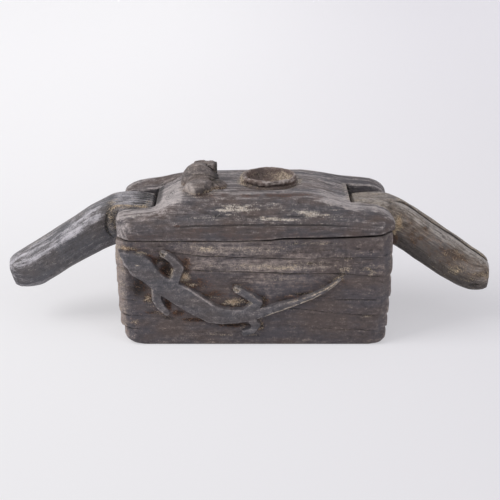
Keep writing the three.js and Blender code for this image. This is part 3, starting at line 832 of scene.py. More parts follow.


# Each handle grows out of an end wall as a tongue that lies on the rim and a paddle arm that droops. It is
# hewn in long flats from the same block, and hands have polished the arm's upper bevel to a dull grey.
# On the left arm that grey is also a painted sheen.
# Stations run from the tongue's inner end to the tip: X and height of the top, of the foot, half width.
LEFT_STATIONS = [
    (-108.8, 147, -112.5, 118, 20.5), (-110.5, 150, -115.5, 112, 24), (-122, 151.5, -126, 108, 24.5),
    (-146, 151.5, -141, 104, 25), (-158, 151, -150, 99, 24), (-167, 148.5, -157.5, 96.5, 22.5),
    (-181, 142, -169, 92, 23.5), (-205, 125, -190, 80, 23.5), (-235, 104, -218, 62.5, 23.5),
    (-259, 90, -241, 48.5, 23), (-271, 83, -255, 45, 22.5), (-275.5, 80, -264.5, 45.2, 21.8),
    (-278.4, 77, -270, 47, 18.5),
]
RIGHT_STATIONS = [
    (115.8, 148, 119.5, 118, 17), (117.5, 151, 122.5, 114, 20.5), (128, 152, 132, 110, 22),
    (150, 152.5, 146, 105, 24.5), (162, 151, 158, 99.5, 24), (174, 147.5, 166, 96, 23.5),
    (190, 137.5, 177, 89, 23.5), (205, 127, 191, 78.5, 23.5), (235, 106, 220, 59, 23.5),
    (254, 93, 241, 46.5, 23), (265, 85.5, 256, 41, 22.5), (272.5, 79.6, 267, 40.6, 21.8),
    (275.8, 75.8, 274, 43, 18.5),
]
# Corners of the section, as shares of the half width and the half height, from the front's upper corner.
ARM_SECTION = [
    (-1, 0.5), (-0.62, 0.86), (-0.2, 0.99), (0.3, 0.99), (0.72, 0.82), (0.97, 0.42),
    (1, -0.35), (0.78, -0.84), (0.25, -1), (-0.45, -1), (-0.88, -0.78), (-1, -0.35),
]
TONGUE_SECTION = [
    (-1, 0.62), (-0.9, 0.86), (-0.3, 0.97), (0.35, 1), (0.88, 0.96), (1, 0.72),
    (1, -0.35), (0.78, -0.84), (0.25, -1), (-0.45, -1), (-0.88, -0.78), (-1, -0.35),
]
CORNERS = len(ARM_SECTION)
SHOULDER_FROM, SHOULDER_TO = 3, 6
ARM_STEP, ROUND_STEPS = 1.3, 108
# Size of each ring that rounds off an end, and how far out it stands in mm.
END_RINGS = [(0.96, 0.35), (0.85, 0.55), (0.6, 0.6), (0.35, 0.6), (0.1, 0.6)]
GROOVE_DEPTH, GROOVE_SPACING = 2.0, 5.4
LEFT_SEED, RIGHT_SEED = 60, 80
LEFT_BROWN = rgb(97, 91, 90)
LEFT_BLUE = rgb(92, 91, 96)
LEFT_POLISH_AND_SHEEN = rgb(198, 194, 200)
LEFT_DUST = rgb(222, 202, 176)
LEFT_EARTH = rgb(124, 92, 64)
RIGHT_OLIVE = rgb(124, 110, 97)
RIGHT_GREY = rgb(116, 108, 104)
RIGHT_POLISH = rgb(190, 182, 176)
RIGHT_DUST = rgb(228, 208, 178)
RIGHT_EARTH = rgb(150, 104, 62)


def blurred(values, width, round_trip):
    """Running mean over a few places, along a run or round a loop."""
    reach = width // 2
    if round_trip:
        held = np.concatenate([values[-reach:], values, values[:reach]])
    else:
        held = np.concatenate([np.repeat(values[:1], reach, 0), values, np.repeat(values[-1:], reach, 0)])
    return sum(held[i:i + len(values)] for i in range(2 * reach + 1)) / (2 * reach + 1)


def end_rings(ring, behind, fibre):
    """Ever smaller rings that round off one end of a handle, with the fibre of each."""
    heading = (ring - behind).mean(0)
    heading /= np.linalg.norm(heading)
    centre = ring.mean(0)
    rings, fibres = [], []
    for scale, proud in END_RINGS:
        fibre = fibre * [1, scale, 1]
        rings.append(centre + (ring - centre) * scale + heading * proud)
        fibres.append(fibre)
    return rings, fibres


def hewn_arm(stations, seed):
    """Closed skin of one handle, with its fibre and how far round the section each point is, in corners."""
    rows = np.array(stations, float)
    middle = (rows[:, :2] + rows[:, 2:4]) / 2
    run = np.concatenate([[0], np.cumsum(np.linalg.norm(np.diff(middle, axis=0), axis=1))])
    places = np.arange(0, run[-1] + ARM_STEP / 2, ARM_STEP)
    line = np.stack([np.interp(places, run, column) for column in rows.T], 1)
    line[4:-4] = blurred(line, 7, False)[4:-4]
    arm_share = ease(SHOULDER_FROM, SHOULDER_TO, np.interp(places, run, np.arange(len(rows))))
    turn = np.arange(ROUND_STEPS) * CORNERS / ROUND_STEPS
    before = np.floor(turn).astype(int)
    share = turn - before
    layers, fibre = [], []
    for place, arm, (top_x, top_z, low_x, low_z, half) in zip(places, arm_share, line):
        jitter = np.array([(0.04 * swell(place / 34, i, 0, seed), 0.04 * swell(place / 30, i, 5, seed))
                           for i in range(CORNERS)])
        section = arm * np.array(ARM_SECTION) + (1 - arm) * np.array(TONGUE_SECTION) + jitter
        shape = section[before] + share[:, None] * (section[(before + 1) % CORNERS] - section[before])
        shape = blurred(shape, 5, True)
        y, level = shape[:, 0] * half, (shape[:, 1] + 1) / 2
        layers.append(np.stack([low_x + level * (top_x - low_x), y, low_z + level * (top_z - low_z)], 1))
        fibre.append(np.stack([place + 0 * y, y, level * math.hypot(top_x - low_x, top_z - low_z)], 1))
    inner, inner_fibre = end_rings(layers[0], layers[1], fibre[0])
    tip, tip_fibre = end_rings(layers[-1], layers[-2], fibre[-1])
    layers = inner[::-1] + layers + tip
    fibre = inner_fibre[::-1] + fibre + tip_fibre
    last = (len(layers) - 1) * ROUND_STEPS
    faces = ring_faces(len(layers), ROUND_STEPS)
    faces.append(tuple(range(ROUND_STEPS - 1, -1, -1)))
    faces.append(tuple(last + i for i in range(ROUND_STEPS)))
    return np.concatenate(layers), faces, np.concatenate(fibre), np.tile(turn, len(layers))


def outward_ways(points, count):
    """Outward way of each point of a skin laid in rings of that many points."""
    grid = points.reshape(-1, count, 3)
    round_way = np.roll(grid, -1, 1) - np.roll(grid, 1, 1)
    way = np.cross(round_way, np.gradient(grid, axis=0))
    way = (way / np.maximum(np.linalg.norm(way, axis=2, keepdims=True), 1e-9)).reshape(-1, 3)
    spokes = points - grid.mean(1).repeat(count, 0)
    return way if (way * spokes).sum() >= 0 else -way


def facing_out(points, faces):
    """The faces, turned round where they enclose the wood inside out."""
    sample = np.array([face[:3] for face in faces])
    a, b, c = points[sample[:, 0]], points[sample[:, 1]], points[sample[:, 2]]
    middle = points.mean(0)
    volume = ((a - middle) * np.cross(b - middle, c - middle)).sum()
    return [face[::-1] for face in faces] if volume < 0 else faces


def near_corner(rounds, corner, width):
    """1 at a corner of the section, fading over a width counted in corners."""
    return near((rounds - corner + CORNERS / 2) % CORNERS, CORNERS / 2, width)


def between_corners(rounds, low, high, blur):
    """1 between two corners of the section, blurred at both."""
    return ease(low - blur, low + blur, rounds) * ease(high + blur, high - blur, rounds)


def round_from_front(rounds):
    """How far round the section, counted up and down from the front's upper corner."""
    return (rounds + CORNERS / 2) % CORNERS - CORNERS / 2


def handle_piece(name, stations, seed, carve_more, marks):
    """One handle, hewn all over. carve_more(points, rounds) says what else is cut out of it, in mm."""
    points, faces, fibre, rounds = hewn_arm(stations, seed)
    s, y, level = fibre.T
    proud = 0.35 * swell(s / 26, y / 14, level / 14, seed + 1)
    proud = proud + 0.2 * swell(s / 12, y / 3.5, level / 3.5, seed + 2)
    proud = proud + 0.4 * (0.4 - scoops(s / 30, rounds / 1.6, seed + 3)) - carve_more(points, rounds)
    points = points + outward_ways(points, ROUND_STEPS) * proud[:, None]
    return lay_down(name, points, facing_out(points, faces),
                    lambda spots, hollow, rub: marks(spots, hollow, rub, s, rounds), fibre)


def left_cuts(points, rounds):
    """Grooves along the tongue, and a cleft, a fold and a hump where the arm leaves it."""
    x, y, z = points.T
    tongue = ease(-140, -124, x + 5 * swell(y / 4, 0, 0, 75)) * ease(24, 21, np.abs(y)) * ease(145, 148, z)
    across = (y + 1.2 * swell(x / 14, 0, 0, 76)) * 2 * math.pi / GROOVE_SPACING
    grooves = tongue * GROOVE_DEPTH * ease(0.2, 0.95, np.cos(across))
    wander = 1.8 * swell(0, y / 9, z / 9, 80)
    reach = ease(104, 114, z) * ease(148, 138, z) * ease(6, 15, -y)
    bow = 5 * ((z - 128) / 16) ** 2
    cleft = 1.0 * near(x - bow + wander, -153.5, 2.0) * reach
    fold = 1.3 * near(x - bow - wander, -163, 2.4) * reach
    hump = near(x, -158, 5) * ease(140, 147, z) * (0.5 + 0.5 * swell(y / 9, 0, 0, 77))
    return grooves + cleft + fold + hump


def left_marks(points, hollow, rub, s, rounds):
    """Where the left handle is dusty, earthy, rubbed and sooty, by its place along the arm and round it, with
    a painted sheen on the bevel.
    """
    x, y, z = points.T
    arm = ease(-160, -174, x + 4 * swell(0, y / 8, z / 8, 71))
    jag = 0.3 * swell(s / 22, 0, 0, 72) + 0.12 * swell(s / 6, 0, 0, 73)
    turn = round_from_front(rounds)
    # Painted sheen over real polish: the upper bevel is made pale grey, brightest low on it.
    polished_bevel_sheen = ease(-0.25, 0.2, turn) * ease(2.1, 0.7, turn + jag) * arm
    streaks = ease(-0.5, 0.7, swell(s / 60, 3.2 * turn, 0, 78) + 0.6 * swell(s / 18, 7 * turn, 0, 70))
    strip = ease(1.2, 2.0, rounds) * ease(4.2, 3.0, rounds) * arm
    face = ease(-1.1, -0.9, turn) * ease(0.2, -0.1, turn) * arm
    root = near(x + 2 * swell(0, y / 6, z / 6, 69), -157, 5.5) * ease(2, 12, -y) * ease(106, 122, z)
    cracks = root * ease(0.1, 0.5, swell(x / 3, y / 4, z / 12, 79))
    tongue = ease(-160, -150, x) * ease(140, 147, z)
    ends = tongue * ease(-136, -118, x)
    lip = near(y, -22.5, 2.5) * tongue * ease(-112, -118, x)
    fibres = ease(-0.3, 0.6, swell(x / 22, y / 2.2, 0, 74))
    dust = 0.1 * hollow + 0.55 * root + 0.5 * tongue * fibres + 0.7 * lip + 0.3 * strip * streaks
    earth = 0.6 * lip + 0.25 * root + 0.25 * face * ease(0.2, 0.8, swell(s / 20, y / 9, z / 9, 68))
    rubbed = 0.25 * rub + (0.35 + 0.7 * streaks) * polished_bevel_sheen + 0.5 * tongue * (1 - 0.6 * ends) + 0.2 * strip
    return {"rub": rubbed, "dust": dust, "earth": earth,
            "hollow": hollow + 0.7 * cracks + 0.6 * ends * (1 - fibres)}


def right_cuts(points, rounds):
    """A furrow along the arm, a slit near its tip, and a waist where the arm leaves the tongue."""
    x, y, z = points.T
    furrow = 1.3 * near_corner(rounds, 1.75, 0.16) * ease(165, 180, x)
    slit = 2.2 * near(x, 259, 5) * near(z, 52, 1.0) * ease(0, 10, -y)
    waist = 1.2 * near(x, 159, 3.5) * ease(4, 14, -y)
    return furrow + slit + waist


def right_marks(points, hollow, rub, s, rounds):
    """Where the right handle is dusty, earthy, rubbed and sooty, by its place along the arm and round it,
    with painted shade under the arm.
    """
    x, y, z = points.T
    arm = ease(160, 172, x)
    end = ease(215, 262, x)
    jag = 0.2 * swell(s / 14, 0, 0, 82) + 0.1 * swell(s / 4, 0, 0, 83)
    turn = round_from_front(rounds)
    furrow = near_corner(rounds + 0.5 * jag, 1.75, 0.22) * arm
    ridge = between_corners(rounds, 1.95, 3.4, 0.1) * arm
    band = between_corners(turn + jag, 0.35, 1.6, 0.2) * arm
    flank = between_corners(turn + jag, -0.95, 0.45, 0.25) * arm
    # Painted shade along the underside of the arm.
    below = ease(-0.65, -1.1, turn + 0.5 * jag) * ease(-5, -4, turn) * arm
    root = patches(x, z, [(168, 127, 4.5, 9, 1.0), (164, 119, 3, 6, 0.9)]) * ease(0, 12, -y)
    foot = patches(x, z, [(163, 108, 5, 8, 1.3)]) * ease(0, 12, -y)
    tongue = ease(165, 150, x) * ease(140, 147, z)
    streaks = ease(-0.4, 0.6, swell(s / 50, 2.6 * turn, 0, 84) + 0.5 * swell(s / 16, 6 * turn, 0, 88))
    flecks = ease(-0.1, 0.6, swell(s / 12, y / 5, z / 5, 86) + 0.5 * swell(s / 5, y / 2, z / 2, 87))
    fibres = ease(-0.4, 0.6, swell(x / 24, y / 2.4, 0, 85))
    tan = patches(x, z, [(236, 70, 12, 6, 0.8), (215, 88, 10, 4, 0.5), (252, 58, 8, 3, 0.6)]) * (1 - band)
    dust = 0.12 * hollow + (0.45 + 0.35 * streaks) * ridge + (0.25 + 0.4 * end) * flank * flecks
    dust = dust + 0.5 * tongue * fibres + 1.6 * root + 0.25 * band * streaks + tan
    earth = 0.45 * furrow + (0.4 + 0.4 * flecks) * flank + 0.25 * ridge
    earth = earth + 1.2 * foot + 0.4 * root + 0.3 * tan
    rubbed = 0.2 * rub + (0.5 + 0.35 * streaks) * band + 0.4 * tongue + (0.12 + 0.2 * streaks) * flank
    return {"rub": rubbed + (0.3 + 0.25 * streaks) * ridge, "dust": dust, "earth": earth,
            "hollow": 0.9 * hollow + 0.95 * furrow + 0.55 * below}


left_handle = handle_piece("handle_left_skin", LEFT_STATIONS, LEFT_SEED, left_cuts, left_marks)
left_handle.data.materials.append(smoked_wood("polished_sheen_left_handle_wood", LEFT_BROWN, LEFT_BLUE, LEFT_POLISH_AND_SHEEN,
                                              LEFT_DUST, LEFT_EARTH, gloss=0.44, streaky=0.8))
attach(left_handle, "box")
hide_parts("handle_left")

right_handle = handle_piece("handle_right_skin", RIGHT_STATIONS, RIGHT_SEED, right_cuts, right_marks)
right_handle.data.materials.append(smoked_wood("olive_right_handle_wood", RIGHT_OLIVE, RIGHT_GREY,
                                               RIGHT_POLISH, RIGHT_DUST, RIGHT_EARTH, gloss=0.5, streaky=1.0))
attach(right_handle, "box")
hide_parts("handle_right")


# The lid is a second block: a domed crown between two steep flanks, forked at each end to straddle the
# tongues. Its flanks are gouged along the grain and caked with old offerings; its lower band is smooth.
LID_LEFT, LID_RIGHT, LID_CORNER = -147.5, 160.0, 20.0
# Height of the lid's edges at places along X, in mm.
UNDERSIDE = [(-12, 123.7), (22, 125.2), (36, 127.2), (76, 127.7), (114, 129.1), (136, 130.2), (152, 131.6)]
BAND_TOP = [
    (-150, 135), (-134, 136), (-119, 137.6), (-92, 139.8), (-54, 141.5), (11, 142.7), (81, 142.5),
    (130, 140), (163, 136),
]
FRONT_CREST = [
    (-150, 141), (-146, 145.5), (-140, 147.8), (-122, 149.8), (-110, 151.2), (-103, 153), (-91, 159),
    (-83, 163), (-75, 165.5), (-40, 167), (60, 167), (80, 165), (98, 160.5), (112, 157), (124, 156),
    (139, 154.7), (148, 151.5), (154, 147.7), (161, 139),
]
REAR_CREST = [
    (-150, 142), (-144, 147.5), (-138, 152), (-131, 155.5), (-118, 158.5), (-106, 160), (-92, 162.5),
    (-60, 166), (0, 167.5), (60, 167), (84, 164), (112, 161), (142, 158), (150, 154.5), (155, 150.5),
    (161, 143), (163, 139),
]
REAR_FROM, REAR_TO = 30.0, 58.0
DOME_RISE, DOME_REACH, DOME_FADE = 2.5, 110.0, 50.0
FLANK_SLOPE, BAND_GROOVE = 1.35, 0.8
CORNER_FLAT = 2.7
NOTCH_FRONT, NOTCH_REAR, NOTCH_SHOULDER, NOTCH_TOP = -38.0, 34.0, 143.0, 173.0
LEFT_FOOT, LEFT_LIP, RIGHT_FOOT, RIGHT_LIP = -107.8, -99.0, 114.5, 108.5
LID_STEP = 1.2
CUP_X, CUP_Y = 22.5, 5.0
CUP_DIP = 2.4
SEAT_RADIUS, SEAT_FLOOR = 29.0, 158.3
KNOT = (-89.6, -25.0, 161.4)
# Swirls of crust on the flanks: X, height over the band, reach along X, reach in height, strength.
FLANK_CRUST = [
    (-28, 14, 12, 3, 0.8), (-8, 15, 9, 3, 0.9), (0, 5, 60, 1.6, 0.75), (82, 8, 24, 2.6, 0.95),
    (-60, 7, 12, 1.6, 0.5), (50, 12, 30, 2, 0.65), (40, 4.5, 30, 1.3, 0.8),
]
LID_BROWN = rgb(98, 84, 79)
LID_BLUE = rgb(88, 84, 88)
LID_WORN = rgb(192, 182, 180)
LID_CRUST = rgb(238, 226, 214)
LID_EARTH = rgb(142, 92, 74)


def crest(x, y):
    """Height of the crown, which joins a front and a rear profile and swells a little between them."""
    blend = ease(REAR_FROM, REAR_TO, y)
    height = along(FRONT_CREST, x) * (1 - blend) + along(REAR_CREST, x) * blend
    dome = DOME_RISE * (1 - (y / HALF_DEPTH) ** 2) * ease(0, DOME_FADE, DOME_REACH - np.abs(x))
    return height + dome


def band_reach(x):
    """1 where the line over the band runs, 0 towards the lid's ends."""
    return ease(130, 90, x) * ease(-100, -70, x)


def lid_above(x, y, z):
    """Distance over the crown and the gouged flanks."""
    top = z - crest(x, y) + 0.35 * swell(x / 30, y / 12, 0, 91) + 0.35 * swell(x / 22, y / 4.5, 0, 92)
    gouges = 0.8 * swell(x / 34, y / 26, z / 6, 93) + 0.6 * swell(x / 12, y / 18, z / 3, 94)
    over = z - along(BAND_TOP, x)
    flank = (over - FLANK_SLOPE * (HALF_DEPTH - np.abs(y))) / math.hypot(1, FLANK_SLOPE)
    flank = flank + gouges * ease(1, 6, over) * ease(120, 60, np.abs(x)) + 0.5
    groove = BAND_GROOVE * near(over, -0.4, 1.1) * ease(68, 73, np.abs(y)) * band_reach(x)
    return soft_max(top, flank + groove, 3.0 + 6.0 * ease(80, 110, np.abs(x)))


def lid_outline(x, y, z):
    """Distance outside the lid's plan, whose round corners are cut in flats that lean in."""
    middle, reach = (LID_LEFT + LID_RIGHT) / 2, (LID_RIGHT - LID_LEFT) / 2
    out_x, out_y = np.abs(x - middle) - reach + LID_CORNER, np.abs(y) - HALF_DEPTH + LID_CORNER
    beyond = np.hypot(np.maximum(out_x, 0), np.maximum(out_y, 0))
    plan = beyond + np.minimum(np.maximum(out_x, out_y), 0) - LID_CORNER
    flat = (out_x + out_y) / math.sqrt(2) - LID_CORNER + CORNER_FLAT + 0.1 * (z - 130)
    return soft_max(plan, flat, 0.8) + 0.25 * swell(x / 25, y / 25, z / 5, 95) + 0.2


def lid_notches(x, y, z):
    """Below 0 in the two notches between the forks."""
    lean = np.clip((z - NOTCH_SHOULDER) / (NOTCH_TOP - NOTCH_SHOULDER), 0, 2)
    left = x - (LEFT_FOOT + lean * (LEFT_LIP - LEFT_FOOT))
    right = RIGHT_FOOT + lean * (RIGHT_LIP - RIGHT_FOOT) - x
    sides = np.maximum(y - NOTCH_REAR, NOTCH_FRONT - y)
    notch = np.minimum(soft_max(left, sides, 2.0), soft_max(right, sides, 2.0))
    return notch + 0.25 * swell(x / 9, y / 9, z / 9, 96)


def lid_depth(x, y, z):
    """Below 0 in the lid's wood, and about the distance from its skin in mm beside it."""
    body = soft_max(lid_above(x, y, z), lid_outline(x, y, z), 1.6)
    body = soft_max(body, along(UNDERSIDE, x) - z, 0.7)
    far = np.hypot(x - CUP_X, y - CUP_Y)
    body = body + CUP_DIP * near(far, 31, 5) * ease(0, -18, y - CUP_Y) * ease(160, 166, z)
    seat = np.maximum(far - SEAT_RADIUS, SEAT_FLOOR - z)
    return np.maximum(soft_max(body, -lid_notches(x, y, z), 1.2), -seat)


def lid_marks(points, hollow, rub):
    """Where the lid is dusty, earthy, rubbed and sooty: its flanks and ends first, then its crown.
    Painted light on its left slope and painted sheen on the right of its crown go into the rub mark, and
    painted shade into the hollow mark.
    """
    x, y, z = points.T
    over = z - along(BAND_TOP, x)
    crown = ease(3.5, 1.2, crest(x, y) - z)
    flank = ease(0, 3, over) * (1 - crown) * ease(30, 50, np.abs(y))
    front = ease(-40, -60, y)
    strands = swell(x / 22, 0, z / 2.2, 101) + 0.6 * swell(x / 7, 0, z / 1.5, 102)
    streaks = ease(0.0, 0.9, strands)
    middle = ease(-60, -30, x) * ease(125, 100, x)
    swirl = flank * patches(x, over, FLANK_CRUST) * (0.45 + 0.85 * ease(-0.5, 0.5, strands))
    crust_line = near(over, 1.5, 0.9) * front * ease(-45, -20, x) * ease(110, 70, x)
    crust_line = crust_line * ease(-0.5, 0.4, swell(x / 8, 0, 0, 108))
    # Painted shade in the groove over the band.
    band_groove_shade = near(over, -0.6, 0.9) * ease(60, 72, np.abs(y)) * band_reach(x)
    spot = front * patches(x, over, [(-79, 0.5, 3, 1.2, 1.2)])
    end_facet = ease(-133, -137, x) * ease(7, 3, over)

    # Painted light: the slope from the left notch up to the crown faces the lamp and is made paler here
    # through the rub mark.
    lit_cheek = crown * ease(-68, -82, x) * ease(-112, -101, x) * ease(24, 4, y) * ease(-62, -50, y)
    front_left = crown * ease(-98, -112, x) * ease(0, -30, y)
    front_right = crown * ease(95, 118, x) * ease(0, -30, y)
    rear = crown * ease(26, 40, y)
    # Painted sheen: a pale grey sweep on the crown's right, laid through the rub mark.
    sheen_sweep = crown * ease(62, 84, x) * ease(-18, -34, y) * ease(126, 112, x)
    fibres = ease(-0.7, 0.8, swell(x / 30, y / 2.4, 0, 107) + 0.5 * swell(x / 9, y / 1.3, 0, 109))
    red = crown * ease(-66, -50, x) * ease(110, 60, x) * ease(-40, -47, y) * ease(-60, -52, y)
    tan_left = front_left * patches(x, y, [(-125, -62, 14, 4, 1.0), (-118, -50, 10, 4, 0.7)])
    beside_cup = 0.25 + 0.75 * ease(14, 26, np.abs(x - CUP_X)) * ease(-0.5, 0.3, swell(x / 7, y / 7, 0, 104))
    round_cup = crown * near(np.hypot(x - CUP_X, y - CUP_Y), 33, 4.0) * beside_cup
    round_figure = crown * near(np.hypot(x + 56, (y + 13) / 1.75), 22, 2.2)
    lump = crown * patches(x, y, [(-11, -2, 4, 12, 1.0), (56, 0, 7, 16, 0.5), (70, 8, 18, 6, 0.35)])
    wall = ease(124, 118, x) * ease(104, 110, x) * ease(36, 30, np.abs(y)) * ease(170, 160, z)
    # Painted shade on the end wall of the left notch.
    left_notch_shade = ease(-113, -107, x) * ease(-97, -102, x) * ease(36, 30, np.abs(y + 2))

    dust = 0.12 * hollow + 0.5 * flank * streaks * middle + 0.95 * swirl + 0.5 * crust_line
    dust = dust + 0.8 * round_cup + 0.8 * lump + 0.5 * round_figure + 0.6 * wall + 0.6 * tan_left
    dust = dust + 0.25 * crown * fibres * ease(-90, -60, x)
    earth = 0.9 * red * ease(-0.6, 0.3, strands) + 0.3 * round_cup + 0.4 * round_figure + 0.3 * lump
    earth = earth + 0.35 * ease(0, -6, over) * ease(0.1, 0.7, swell(x / 30, 0, z / 5, 106))
    earth = earth + 0.12 * swirl + spot
    worn = 0.3 * rub + 0.8 * lit_cheek + 0.4 * front_left + 0.18 * front_right + 0.06 * rear * ease(60, -60, x)
    worn = worn + 0.48 * sheen_sweep + (0.16 + 0.42 * fibres) * crown * (1 - 0.4 * rear) + 0.6 * end_facet
    worn = worn + 0.12 * flank * ease(-0.5, 0.6, strands) - 0.25 * (lit_cheek + front_left) * (1 - fibres)
    worn = worn + 0.3 * flank * front * patches(x, over, [(-95, 14, 26, 9, 1.0)])
    dark = 0.8 * hollow + 0.7 * left_notch_shade + 0.65 * band_groove_shade
    # The near() term in the next line paints shade along the lid's lower edge, where it sits on the trough.
    dark = dark + 0.5 * near(along(UNDERSIDE, x) - z, 0, 1.2) + 0.25 * crown * (1 - fibres)
    return {"rub": worn, "dust": dust, "earth": earth, "hollow": dark}


lid_skin = carve(lid_depth, (LID_LEFT, -HALF_DEPTH, 123), (LID_RIGHT, HALF_DEPTH, 172), LID_STEP)
lid = lay_down("lid", *lid_skin, lid_marks)
lid.data.materials.append(smoked_wood("caked_lid_wood", LID_BROWN, LID_BLUE, LID_WORN, LID_CRUST, LID_EARTH,
                                      gloss=0.5, streaky=0.9, knot=tuple(MM * part for part in KNOT)))
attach(lid, "lid")
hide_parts("lid_board")


# The figure is a small crouching form carved from the lid's block: a rounded back with a flat crest
# behind a cut groove, a broad forehead lobe cut in flats, and a blunt muzzle that points to the cup.
# Each lobe is its middle and its reach along X, Y and Z.
FIGURE_BACK = ((-57.5, 3, 168), (21, 23, 22.6))
FIGURE_HEAD = ((-56, -27, 166), (19.5, 25, 14))
FIGURE_MUZZLE = ((-35.5, -19, 169), (9.5, 12, 8.5))
FIGURE_EAR = ((-42, -4, 171.5), (8, 10, 9))
FIGURE_CREST = ((-51, 10, 168), (19, 13, 30))
CREST_TOP, CREST_RIGHT = 189.3, -37.5
# Flats cut on the forehead: a point on each and the way it faces.
FOREHEAD_FLATS = [
    ((-49, -43, 168), (0.45, -1, 0.12)), ((-68, -39, 168), (-1, -0.8, 0.3)),
    ((-58, -36, 177.5), (-0.1, -0.35, 1)), ((-42, -30, 172), (0.8, -0.4, 0.7)),
]
FIGURE_FOOT, FIGURE_STEP = 158.5, 0.8
FIGURE_BROWN = rgb(108, 94, 87)
FIGURE_GREY = rgb(100, 91, 89)
FIGURE_WORN = rgb(188, 176, 170)
FIGURE_CRUST = rgb(226, 206, 182)
FIGURE_EARTH = rgb(140, 96, 62)


def lobe(x, y, z, shape):
    """About the distance in mm from the skin of an egg-shaped lobe."""
    (cx, cy, cz), (rx, ry, rz) = shape
    far = np.sqrt(((x - cx) / rx) ** 2 + ((y - cy) / ry) ** 2 + ((z - cz) / rz) ** 2)
    steep = np.sqrt(((x - cx) / rx ** 2) ** 2 + ((y - cy) / ry ** 2) ** 2 + ((z - cz) / rz ** 2) ** 2)
    return far * (far - 1) / np.maximum(steep, 1e-6)


def crest_plate(x, y, z):
    """The flat crest: a tall lobe cut ragged on top, straight on the right and slanting on the left."""
    ragged = 0.9 * ease(0.0, 0.8, swell(x / 5, y / 5, 0, 116))
    plate = soft_max(lobe(x, y, z, FIGURE_CREST), z - CREST_TOP + ragged, 0.3)
    plate = soft_max(plate, x - CREST_RIGHT, 0.5)
    return soft_max(plate, -0.72 * (x + 58) - 0.69 * (y - 4), 0.5)


def figure_depth(x, y, z):
    """Below 0 in the figure's wood."""
    back = lobe(x, y, z, FIGURE_BACK)
    head = lobe(x, y, z, FIGURE_HEAD)
    muzzle = lobe(x, y, z, FIGURE_MUZZLE) + 0.8 * swell(x / 5, y / 5, z / 5, 113)
    ear = lobe(x, y, z, FIGURE_EAR) + 0.8 * swell(x / 6, y / 4, z / 4, 115)
    plate = crest_plate(x, y, z)
    for (px, py, pz), (wx, wy, wz) in FOREHEAD_FLATS:
        length = math.sqrt(wx * wx + wy * wy + wz * wz)
        head = soft_max(head, ((x - px) * wx + (y - py) * wy + (z - pz) * wz) / length, 0.2)
    groove = 1.2 * near(back - plate, 0, 1.3) * ease(172, 180, z)
    body = soft_min(soft_min(back, head, 3), plate, 0.4) + groove
    body = soft_min(body, soft_min(muzzle, ear, 1.5), 2.5)
    body = body + 0.3 * swell(x / 9, y / 9, z / 9, 111) + 0.22 * swell(x / 6, y / 5, z / 2.4, 112)
    return np.maximum(body, FIGURE_FOOT - z)


def figure_marks(points, hollow, rub):
    """Where the figure is dusty, earthy, rubbed and sooty, with painted light on the left of its head and
    painted shade on its front flat.
    """
    x, y, z = points.T
    foot = ease(5, 1, z - crest(x, y))
    # Painted light on the left of the head, through the rub mark, and painted shade on the front flat, which
    # faces away from the lamp.
    side = patches(x, z, [(-68, 169, 6, 8, 1.0)]) * ease(-24, -36, y)
    shaded_facet = patches(x, z, [(-47, 168, 11, 10, 1.0)]) * ease(-32, -40, y)
    bend = z + 0.016 * (x + 58) ** 2 + 0.4 * swell(x / 9, y / 9, 0, 117)
    seams = near(bend, 182, 0.6) + near(bend, 186.5, 0.6) * ease(-10, 0, y)
    folds = ease(0.1, 0.7, swell(x / 16, y / 12, z / 1.8, 114)) * ease(174, 180, z)
    chin = patches(x, z, [(-34, 167, 10, 8, 1.0)]) * ease(0, -8, y)
    cut = ease(-44, -39, x) * ease(172, 178, z)
    return {"rub": 0.28 + 0.4 * rub + 1.0 * side - 0.4 * shaded_facet,
            "dust": 0.12 * hollow + 0.5 * foot + 0.35 * folds + 0.3 * chin,
            "earth": 0.4 * foot + 0.8 * chin,
            "hollow": hollow + 0.65 * shaded_facet + 0.8 * cut + 0.6 * seams}


figure = lay_down("figure", *carve(figure_depth, (-79, -54, 158), (-24, 31, 192), FIGURE_STEP), figure_marks)
figure.data.materials.append(smoked_wood("handled_figure_wood", FIGURE_BROWN, FIGURE_GREY, FIGURE_WORN,
                                         FIGURE_CRUST, FIGURE_EARTH, gloss=0.5, streaky=0.6))
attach(figure, "lid")
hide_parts("lid_figure")


# The offering cup is a shallow bowl left standing on the crown. Its lip is chipped all round, and its
# bowl is specked with the pale remains of what was put there.
CUP_FOOT, BOWL_FLOOR = 158.0, 162.4
# Radius and height of its profile, from under its middle round the lip to the middle of the bowl.
CUP_WALL = [
    (0, CUP_FOOT), (30.5, CUP_FOOT), (31.6, 166), (31.2, 169), (30.2, 170.6), (29.9, 172), (30.3, 174),
    (30, 175.6), (29, 176.8), (28, 176.9), (27, 175.8), (26.2, 173.5), (24.6, 170), (21.5, 166.6),
    (17, 164.2), (12, 163.2), (0, BOWL_FLOOR),
]
CUP_STEP, CUP_ROUND = 0.7, 200
CUP_BROWN = rgb(118, 99, 91)
CUP_GREY = rgb(106, 94, 91)
CUP_WORN = rgb(176, 164, 158)
CUP_CRUST = rgb(230, 212, 190)
CUP_EARTH = rgb(134, 96, 74)


